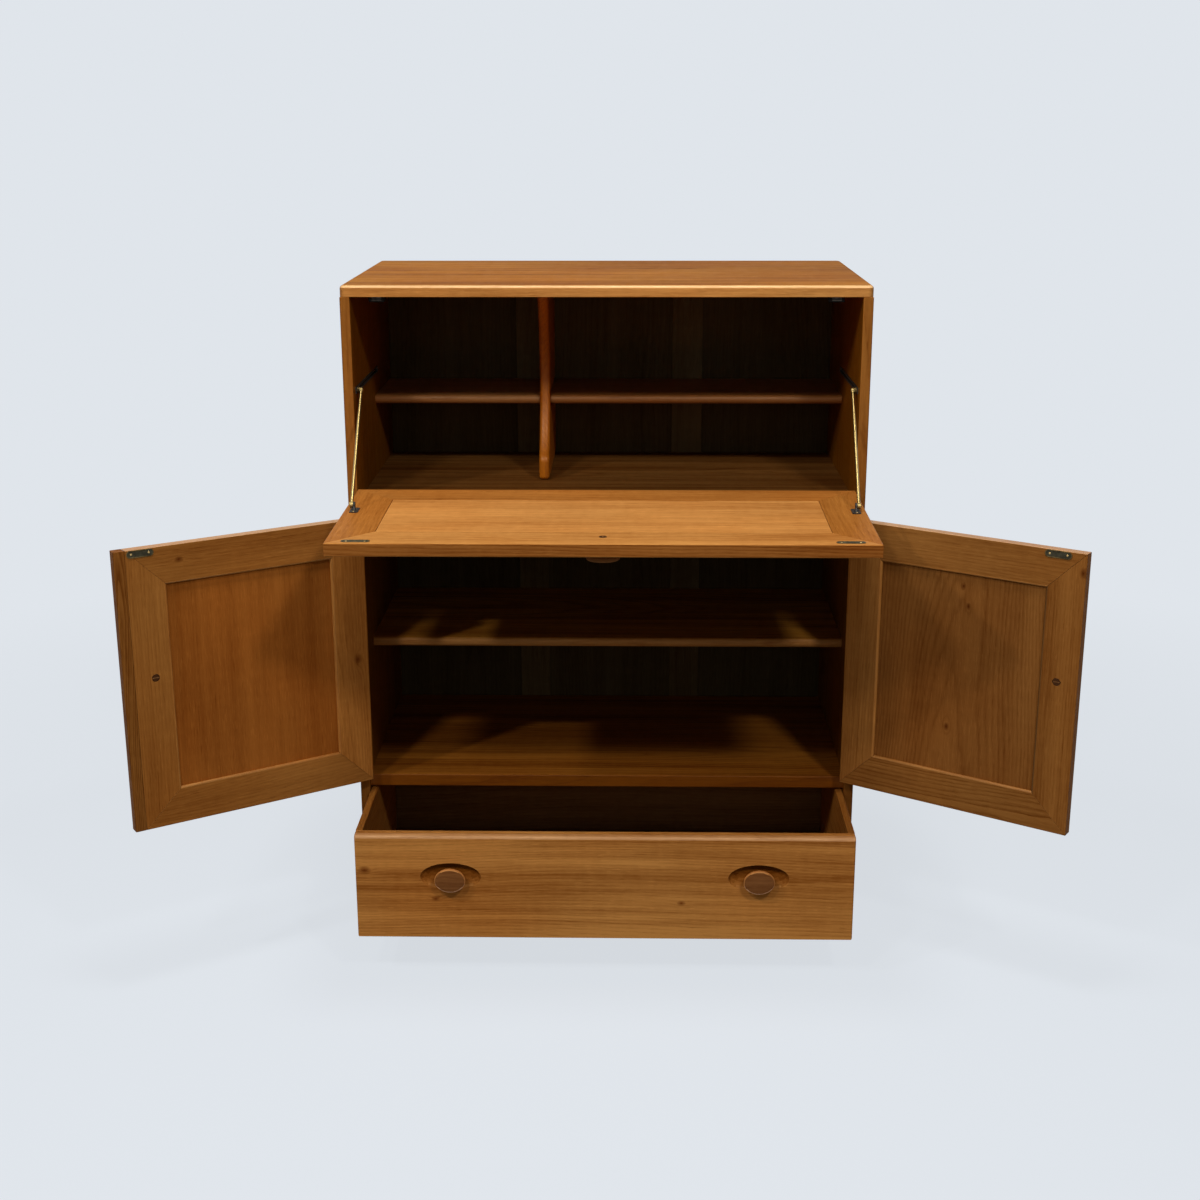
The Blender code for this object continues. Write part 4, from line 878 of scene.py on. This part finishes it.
for side, sign, panel_colour, frame_colour, plate_out in DOORS:
    body = "door_" + side
    swung = Matrix.Rotation(sign * DOOR_OPEN, 3, "Z")
    to_free = swung @ (-sign * X)
    inner_face = swung @ Y
    upright = Matrix((to_free, inner_face, Z)).transposed().to_4x4()
    pin = Vector((door_pins[side][0][1].x, door_pins[side][0][1].y, 0.0))
    pockets = []
    for end, spot, length in door_pins[side]:
        # The moving leaf is let in flush with the door's edge, and its knuckles share the pin
        leaf = block((DOOR_NEAR - SKIN, LEAF_START, -length / 2),
                     (DOOR_NEAR + LET_IN, DOOR_FACE + LEAF_WIDE, length / 2))
        pocket = block((0.0, -POCKET_OPEN, -length / 2 - HAIR),
                       (DOOR_NEAR + LET_IN + HAIR, DOOR_FACE + LEAF_WIDE + HAIR, length / 2 + HAIR))
        for shape in (leaf, pocket):
            bmesh.ops.transform(shape, matrix=Matrix.Translation(spot) @ upright, verts=shape.verts)
            bmesh.ops.recalc_face_normals(shape, faces=shape.faces)
        pockets.append(pocket)
        shape = bmesh.new()
        barrels(shape, spot, Z, length, 1)
        join(shape, leaf)
        hinge = made("door_hinge_" + side + "_" + end + "_moving", shape, BRASS)
        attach(hinge, body)
        for up in (-HINGE_SCREW_APART, HINGE_SCREW_APART):
            # The heads are countersunk, so the two leaves can close on each other
            head = (spot + to_free * (DOOR_NEAR - SKIN + HINGE_SCREW_SUNK)
                    + inner_face * (DOOR_FACE + MOVING_SCREW_IN) + Z * up)
            screw_spots[body].append((head, -to_free, HINGE_SCREW))
            head = spot + Vector((-sign * (LEAF - LEAF_PAST_PIN - HINGE_SCREW_SUNK), FIXED_SCREW_IN, up))
            screw_spots["carcass"].append((head, -sign * X, HINGE_SCREW))
    boards = (
        ("_panel", Z, to_free, panel_colour, PANEL_ARRIS, 0.0044, (0.0, -0.085), None),
        ("_rail_top", to_free, Z, frame_colour, DOOR_ARRIS, 0.0036, (0.06, -0.06), -Z),
        ("_rail_bottom", to_free, Z, frame_colour, DOOR_ARRIS, 0.0036, (-0.05, -0.05), Z),
        ("_stile_hinge", Z, to_free, frame_colour, DOOR_ARRIS, 0.0038, (0.05, -0.06), to_free),
        ("_stile_free", Z, to_free, frame_colour, DOOR_ARRIS, 0.0034, (-0.06, -0.05), -to_free),
    )
    for number, (part, along, across, colour, arris, ring, pith, opening) in enumerate(boards):
        node = body + part
        low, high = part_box(node)
        middle = (low + high) / 2
        out = (middle - pin).dot(to_free)
        origin = (middle.z, out) if along == Z else (out, middle.z)
        knots = [(first - origin[0], second - origin[1], size)
                 for first, second, size in DOOR_KNOTS.get(node, ())]
        colour = [channel * HINGE_STILE_PAINTED_LIGHT.get(node, 1.0) for channel in colour]
        wood = board_elm(node, along, across, colour, 107.0 + 7 * number + 3 * sign, pith=pith, ring=ring,
                         knots=knots, **DOOR_FIGURE.get(node, {}))
        board = planed(node, node + "_wood", arris, wood, joint=MITRE_ARRIS, grain=along,
                       pockets=pockets if part == "_stile_hinge" else (),
                       moulded=(opening, inner_face, SIGHT_ROUND) if opening else None)
        if opening:
            # The moulded round about the panel is painted paler and glossier, as a painted highlight, and
            # duller on some boards, as painted shade
            painted_light_and_shade = [channel * BEAD_PAINTED_SHADE.get(node, 1.0) for channel in BEAD_HIGHLIGHT_COLOUR]
            bead = board_elm(node, along, across, painted_light_and_shade, 5.0 * sign + number, "_bead_elm", gloss=0.35)
            refaced(board, bead, lambda normal, spot: 0.25 < normal.dot(opening) < 0.97
                    and normal.dot(inner_face) > 0.1)
        if part == "_rail_top":
            # The door's upper edge is painted paler and glossier, as a painted highlight of the light from
            # above
            edge = board_elm(node, along, inner_face, DOOR_TOP_HIGHLIGHT_COLOUR, 11.0 * sign, "_edge_elm", gloss=0.5)
            refaced(board, edge, lambda normal, spot: normal.z > 0.4)
        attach(board, body)
        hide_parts(node)
    # A loose tongue is glued in a slot across each mitre
    tongues = bmesh.new()
    for out, inward in ((DOOR_NEAR, 1), (DOOR_FAR, -1)):
        for level, rise in ((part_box(body + "_rail_bottom")[0].z, 1), (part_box(body + "_rail_top")[1].z, -1)):
            run = (to_free * inward + Z * rise).normalized()
            tongue = block((TONGUE_FROM, -TONGUE_WIDE / 2, -TONGUE_THICK / 2),
                           (TONGUE_TO, TONGUE_WIDE / 2, TONGUE_THICK / 2))
            turn = Matrix((run, inner_face.cross(run), inner_face)).transposed().to_4x4()
            corner = pin + to_free * out + Z * level + inner_face * (DOOR_FACE + DOOR_THICK / 2)
            bmesh.ops.transform(tongue, matrix=Matrix.Translation(corner) @ turn, verts=tongue.verts)
            join(tongues, tongue)
    wood = elm(body + "_tongue_elm", pin, Z, to_free, frame_colour, 97.0 + sign)
    tongues = made(body + "_mitre_tongues", tongues, wood)
    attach(tongues, body)
    middle = pin + to_free * DOOR_KNOB_OUT + inner_face * DOOR_FACE + Z * DOOR_KNOB_UP
    for piece in knob(body + "_knob", middle, -inner_face, Z, DOOR_THICK, 141.0 + 5 * sign):
        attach(piece, body)
    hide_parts(body + "_knob")
    middle = pin + to_free * plate_out + inner_face * (DOOR_FACE + DOOR_THICK) + Z * DOOR_PLATE_UP
    plate = catch_plate("door_plate_" + side, middle, to_free, inner_face)
    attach(plate, body)
    for end in (-1, 1):
        head = middle + to_free * end * PLATE_SCREW + inner_face * PLATE_SINK
        screw_spots[body].append((head, inner_face, PLATE_HEAD))
wood = board_elm("door_left_strip", Z, X, STRIP_COLOUR, 163.0, pith=(-0.02, -0.012), ring=0.004, sway=0.12,
                 line=0.9)
strip = planed("door_left_strip", "door_left_strip_wood", STRIP_ARRIS, wood)
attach(strip, "door_left")
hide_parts("door_left_strip")

# The drawer is a box of thin elm boards behind one thick front. The front's upper edge is rounded, and
# two shallow half moons are carved in it behind the knobs for the fingers: under a steep upper wall the
# wood slopes forward and runs out into the face below.
DRAWER_ARRIS = 0.0008
DRAWER_ROUND = 0.0080
DRAWER_END_ROUND = 0.0022
FRONT_COLOUR = (0.578, 0.220, 0.045)
FRONT_EDGE_HIGHLIGHT_COLOUR = (0.68, 0.30, 0.095)
FRONT_SEED = 167.0
FRONT_KNOTS = ((-0.383, 0.028, 0.006), (-0.270, -0.021, 0.004), (0.123, -0.026, 0.004))
SCOOP_REACH = 0.06
SCOOP_BELOW = 0.03
SCOOP_CLEAN = 0.0010
SCOOP_DEEPEST = 0.0095
SCOOP_STEPS = 56
SCOOP_SQUARE = 0.8
# The gouge's ovals: how deep, how far to each side, and how far down and up from the knob's middle
SCOOP = (
    (-0.0030, 0.0494, -0.0255, 0.0258), (0.0, 0.0485, -0.0222, 0.0250), (0.0010, 0.0481, -0.0190, 0.0248),
    (0.0024, 0.0472, -0.0142, 0.0244), (0.0042, 0.0452, -0.0080, 0.0237), (0.0060, 0.0414, -0.0012, 0.0227),
    (0.0076, 0.0350, 0.0056, 0.0212), (0.0086, 0.0262, 0.0106, 0.0195), (0.0090, 0.0150, 0.0138, 0.0178),
)
# The scoop's painted shade from the top down, darkest under the upper wall and lightest on the lower slope as
# painted light: each colour begins at its height from the knob's middle
SCOOP_SHADES = (
    (0.030, (0.20, 0.054, 0.005)),
    (0.006, (0.26, 0.078, 0.010)),
    (-0.001, (0.33, 0.105, 0.016)),
    (-0.006, (0.42, 0.145, 0.026)),
    (-0.011, (0.52, 0.200, 0.045)),
    (-0.0155, (0.62, 0.260, 0.070)),
)
DRAWER_BOARDS = (
    ("drawer_side_left", Y, Z, (0.36, 0.130, 0.022), 173.0, "elm"),
    ("drawer_side_right", Y, Z, (0.36, 0.130, 0.022), 179.0, "elm"),
    ("drawer_back", X, Z, (0.24, 0.125, 0.042), 181.0, "elm"),
    ("drawer_bottom", X, Y, (0.215, 0.100, 0.030), 191.0, "elm_shade"),
)


def scoop(middle):
    """Return the gouge's path behind a knob: ovals that shrink towards the top as they go deeper."""
    shape = bmesh.new()
    rings = []
    for depth, half, bottom, top in SCOOP:
        ring = []
        for step in range(SCOOP_STEPS):
            angle = 2 * pi * step / SCOOP_STEPS
            across, up = cos(angle), sin(angle)
            if up < 0:
                # The lower corners are squarer than an oval's
                across, up = copysign(abs(across) ** SCOOP_SQUARE, across), -abs(up) ** SCOOP_SQUARE
            level = (top + bottom) / 2 + (top - bottom) / 2 * up
            ring.append(shape.verts.new(middle + X * half * across + Y * depth + Z * level))
        rings.append(ring)
    skinned(shape, rings)
    shape.faces.new(rings[0])
    shape.faces.new(rings[-1])
    bmesh.ops.recalc_face_normals(shape, faces=shape.faces)
    return shape


front_low, front_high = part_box("drawer_front")
knob_middles = {}
for side in ("left", "right"):
    low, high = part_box("drawer_knob_" + side)
    knob_middles[side] = Vector(((low.x + high.x) / 2, front_low.y, (low.z + high.z) / 2))
wood = board_elm("drawer_front", X, Z, FRONT_COLOUR, FRONT_SEED, pith=(-0.13, -0.03), ring=0.005, crisp=2.4,
                 fibre=0.62, streak=2.7, drift=1.2, line=0.36, sway=0.06, sap=(-0.076, 0.32),
                 knots=FRONT_KNOTS)
shape = block(front_low, front_high)
round_over(shape, lambda a, b: abs(a.x - b.x) > 0.1 and a.y < front_low.y + HAIR
           and a.z > front_high.z - HAIR, DRAWER_ROUND, 7)
blank = eased(shape, "front_blank", DRAWER_ARRIS, wood, joint=DRAWER_END_ROUND, grain=X)
shape = carved(bmesh_of(blank.data), [scoop(middle) for middle in knob_middles.values()])
front = made("drawer_front_wood", shape, wood)
# The rounded upper edge is painted paler and glossier, as a painted highlight; the scoops are painted in steps,
# dark under the upper wall as painted shade and light on the lower slope as painted light
painted_highlight = board_elm("drawer_front", X, Z, FRONT_EDGE_HIGHLIGHT_COLOUR, FRONT_SEED, "_edge_elm", ring=0.006, gloss=1.0)
refaced(front, painted_highlight, lambda normal, spot: spot.z > front_high.z - DRAWER_ROUND and normal.z > 0.2
        and normal.y < -0.05 and abs(normal.x) < 0.5)
for number, (level, tone) in enumerate(SCOOP_SHADES):
    tone_and_shade = board_elm("drawer_front", X, Z, tone, FRONT_SEED, "_scoop_elm_" + str(number), ring=0.006)
    for middle in knob_middles.values():
        refaced(front, tone_and_shade, lambda normal, spot: abs(spot.x - middle.x) < SCOOP_REACH
                and front_low.y + SCOOP_CLEAN < spot.y < front_low.y + SCOOP_DEEPEST
                and -SCOOP_BELOW < spot.z - middle.z < level)
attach(front, "drawer")
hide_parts("drawer_front")
for node, along, across, colour, seed, slot in DRAWER_BOARDS:
    board = planed(node, node + "_wood", DRAWER_ARRIS, board_elm(node, along, across, colour, seed))
    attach(board, "drawer")
    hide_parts(node)
for side, seed in (("left", 146.0), ("right", 156.0)):
    node = "drawer_knob_" + side
    for piece in knob(node, knob_middles[side], -Y, X, front_high.y - front_low.y, seed):
        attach(piece, "drawer")
    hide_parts(node)

# The screws are slotted brass with countersunk heads, a little domed, and rivets close the stays' eyes.
# They are set out by points on each moving body, and each slot stops where its maker left it.
SLOT_WIDTH = 0.22
SLOT_LONG = 2.4
SLOT_DEEP = 0.36
SLOT_LEVEL = 0.26
HEAD_DOME = 0.30
SCREW_SEED = 7
BRACKET_ALONG = -0.138
BRACKET_TOP = 0.0219
BRACKET_SCREW = 0.0019
BRACKET_SCREW_APART = 0.0095
FLAP_HINGE_SCREW_Y = -0.0285
RIVET = 0.0026
RIVET_IN = 0.0052
RIVET_FROM_END = 0.0048


def fixing_tree(name, slotted, material):
    """Build the tree that stands a domed head on every point, turned to face the way it is given."""
    tree = bpy.data.node_groups.new(name, "GeometryNodeTree")
    for kind, way, label in (("Geometry", "INPUT", "Geometry"), ("Float", "INPUT", "Dome"),
                             ("Float", "INPUT", "Slot"), ("Geometry", "OUTPUT", "Geometry")):
        tree.interface.new_socket(label, in_out=way, socket_type="NodeSocket" + kind)
    given = tree.nodes.new("NodeGroupInput").outputs
    ball = add(tree, "GeometryNodeMeshUVSphere", {"Segments": 18, "Rings": 10, "Radius": 1.0})["Mesh"]
    flat = add(tree, "ShaderNodeCombineXYZ", {0: 1.0, 1: 1.0, 2: given["Dome"]})[0]
    form = add(tree, "GeometryNodeTransform", {"Geometry": ball, "Scale": flat})[0]
    if slotted:
        size = add(tree, "ShaderNodeCombineXYZ", {0: SLOT_LONG, 1: given["Slot"], 2: SLOT_DEEP})[0]
        saw = add(tree, "GeometryNodeMeshCube", {"Size": size})["Mesh"]
        saw = add(tree, "GeometryNodeTransform", {"Geometry": saw, "Translation": (0.0, 0.0, SLOT_LEVEL)})[0]
        form = add(tree, "GeometryNodeMeshBoolean", {"Mesh 1": form, "Mesh 2": saw},
                   operation="DIFFERENCE")["Mesh"]
    facing = add(tree, "GeometryNodeInputNamedAttribute", {"Name": "facing"}, data_type="FLOAT_VECTOR")
    radius = add(tree, "GeometryNodeInputNamedAttribute", {"Name": "radius"}, data_type="FLOAT")
    upright = add(tree, "FunctionNodeAlignRotationToVector", {"Vector": facing["Attribute"]}, axis="Z")[0]
    dice = add(tree, "FunctionNodeRandomValue", {3: 2 * pi, "Seed": SCREW_SEED}, data_type="FLOAT")[1]
    stop = add(tree, "FunctionNodeAxisAngleToRotation", {"Axis": (0.0, 0.0, 1.0), "Angle": dice})[0]
    turned = add(tree, "FunctionNodeRotateRotation", {0: upright, 1: stop}, rotation_space="LOCAL")[0]
    heads = add(tree, "GeometryNodeInstanceOnPoints",
                {"Points": given["Geometry"], "Instance": form, "Rotation": turned,
                 "Scale": radius["Attribute"]})[0]
    solid = add(tree, "GeometryNodeRealizeInstances", {0: heads})[0]
    painted = add(tree, "GeometryNodeSetMaterial", {"Geometry": solid, "Material": material})[0]
    wire(tree, tree.nodes.new("NodeGroupOutput").inputs, {0: painted})
    return tree


def fixings(name, spots, tree):
    """Set a head on each spot and return them as one plain mesh."""
    mesh = bpy.data.meshes.new(name)
    mesh.from_pydata([spot for spot, facing, radius in spots], [], [])
    mesh.attributes.new("facing", "FLOAT_VECTOR", "POINT")
    mesh.attributes.new("radius", "FLOAT", "POINT")
    for number, (spot, facing, radius) in enumerate(spots):
        mesh.attributes["facing"].data[number].vector = facing
        mesh.attributes["radius"].data[number].value = radius
    obj = stood(name, mesh)
    grow = obj.modifiers.new("Heads", "NODES")
    grow.node_group = tree
    grow[tree.interface.items_tree["Dome"].identifier] = HEAD_DOME
    grow[tree.interface.items_tree["Slot"].identifier] = SLOT_WIDTH
    done = worked(obj)
    obj.modifiers.clear()
    obj.data = done
    bpy.data.meshes.remove(mesh)
    done.shade_smooth()
    done.set_sharp_from_angle(angle=radians(50))
    return obj


for side in ("left", "right"):
    low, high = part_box("stay_bracket_" + side)
    for end in (-1, 1):
        spot = FLAP_AXIS + FLAP_TURN @ Vector((0.0, BRACKET_ALONG + end * BRACKET_SCREW_APART, BRACKET_TOP))
        spot.x = (low.x + high.x) / 2
        screw_spots["flap"].append((spot, flap_up, BRACKET_SCREW))
    low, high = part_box("flap_hinge_" + side)
    for out in (-HINGE_SCREW_APART, 0.0, HINGE_SCREW_APART):
        head = Vector(((low.x + high.x) / 2 + out, FLAP_HINGE_SCREW_Y,
                       flap_leaf_low + LEAF - HINGE_SCREW_SUNK))
        screw_spots["carcass"].append((head, Z, HINGE_SCREW))
screws = fixing_tree("slotted_screw", True, BRASS)
for body, spots in screw_spots.items():
    heads = fixings(body + "_screws", spots, screws)
    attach(heads, body)
rivets = fixing_tree("rivet", False, BRASS)
for side, sign in (("left", -1), ("right", 1)):
    low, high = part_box("stay_rod_" + side)
    outer = max(abs(low.x), abs(high.x))
    spot = Vector((sign * (outer - RIVET_IN), high.y - RIVET_FROM_END, high.z - RIVET_FROM_END))
    heads = fixings("rod_" + side + "_rivet", [(spot, -sign * X, RIVET)], rivets)
    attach(heads, "rod_" + side)

# The studio: a pale floor that keeps the cabinet's soft shadow and fades into a background of the same
# colour, with little light from all round.
BACKGROUND = (0.745, 0.784, 0.831, 1.0)
FLOOR_DULL = (0.25, 0.26, 0.27, 1.0)
FLOOR_SHARE = 0.15
FLOOR_LIT = 0.80
FLOOR_REACH = 40.0
AMBIENT = 0.09


def seen_directly(tree):
    """Return 1 for what the camera sees, also in metal or through glass, and 0 for stray light."""
    path = tree.nodes.new("ShaderNodeLightPath").outputs
    seen = figure(tree, "MAXIMUM", path["Is Camera Ray"], path["Is Glossy Ray"])
    return figure(tree, "MAXIMUM", seen, path["Is Transmission Ray"])


shape = bmesh.new()
bmesh.ops.create_grid(shape, x_segments=1, y_segments=1, size=FLOOR_REACH)
floor = stood("floor", mesh_of("floor", shape))
material = bpy.data.materials.new("floor_paper")
material.use_nodes = True
tree = material.node_tree
tree.nodes.clear()
distance = shift(tree, "LENGTH", add(tree, "ShaderNodeTexCoord")["Object"])
near = figure(tree, "MULTIPLY_ADD", distance, -0.8, 2.0, clamp=True)
keep = figure(tree, "MULTIPLY", near, FLOOR_SHARE)
strength = figure(tree, "MULTIPLY_ADD", keep, 1.3 * (1.0 - FLOOR_LIT), 1.0)
glow = add(tree, "ShaderNodeEmission", {"Color": BACKGROUND, "Strength": strength})[0]
paper = add(tree, "ShaderNodeBsdfDiffuse", {"Color": BACKGROUND})[0]
lit = add(tree, "ShaderNodeMixShader", {0: keep, 1: glow, 2: paper})[0]
dull = add(tree, "ShaderNodeBsdfDiffuse", {"Color": FLOOR_DULL})[0]
chosen = add(tree, "ShaderNodeMixShader", {0: seen_directly(tree), 1: dull, 2: lit})[0]
add(tree, "ShaderNodeOutputMaterial", {"Surface": chosen})
floor.data.materials.append(material)

world = bpy.data.worlds.new("studio")
world.use_nodes = True
tree = world.node_tree
tree.nodes.clear()
strength = figure(tree, "MULTIPLY_ADD", seen_directly(tree), 1.0 - AMBIENT, AMBIENT)
air = add(tree, "ShaderNodeBackground", {"Color": BACKGROUND, "Strength": strength})[0]
add(tree, "ShaderNodeOutputWorld", {"Surface": air})
bpy.context.scene.world = world

# One soft box hangs high over the front, and three smaller ones under the ceiling light the upright faces
# from the left and the right, so that the flap is bright and the inside stays in shade. A large weak one
# in front lifts the deepest shade a little.
LAMPS = (
    ("soft_box_high", (-0.05, -0.55, 3.40), (0.0, -0.20, 0.60), 0.55, 37.0),
    ("soft_box_far_left", (-2.07, -1.91, 2.94), (0.0, -0.15, 0.55), 0.20, 22.0),
    ("soft_box_left", (-1.11, -2.37, 2.94), (0.0, -0.15, 0.55), 0.34, 21.0),
    ("soft_box_right", (1.11, -2.37, 2.94), (0.0, -0.15, 0.55), 0.34, 27.0),
    ("soft_box_front", (0.10, -3.40, 1.60), (0.0, -0.05, 0.55), 1.20, 2.6),
)
for name, stand, aim, width, power in LAMPS:
    lamp = bpy.data.lights.new(name, "AREA")
    lamp.shape = "DISK"
    lamp.size = width
    lamp.energy = power
    holder = stood(name, lamp)
    holder.location = stand
    holder.rotation_euler = (Vector(aim) - Vector(stand)).to_track_quat("-Z", "Y").to_euler()

# The camera stands in front of the cabinet, a little to the right, and looks down on it, with the lens
# that the photograph's perspective asks for.
CAMERA_PLACE = (0.0420, -2.6883, 1.3606)
CAMERA_YAW = radians(1.122)
CAMERA_TILT = radians(73.786)
CAMERA_ROLL = radians(-0.10)
CAMERA_LENS = 50.74
CAMERA_SENSOR = 36.0
lens = bpy.data.cameras.new("view")
lens.lens = CAMERA_LENS
lens.sensor_width = CAMERA_SENSOR
camera = stood("view", lens)
camera.location = CAMERA_PLACE
level = Matrix.Rotation(CAMERA_YAW, 3, "Z") @ Matrix.Rotation(CAMERA_TILT, 3, "X")
camera.rotation_euler = (level @ Matrix.Rotation(CAMERA_ROLL, 3, "Z")).to_euler()
bpy.context.scene.camera = camera
bpy.context.scene.view_settings.view_transform = "Standard"
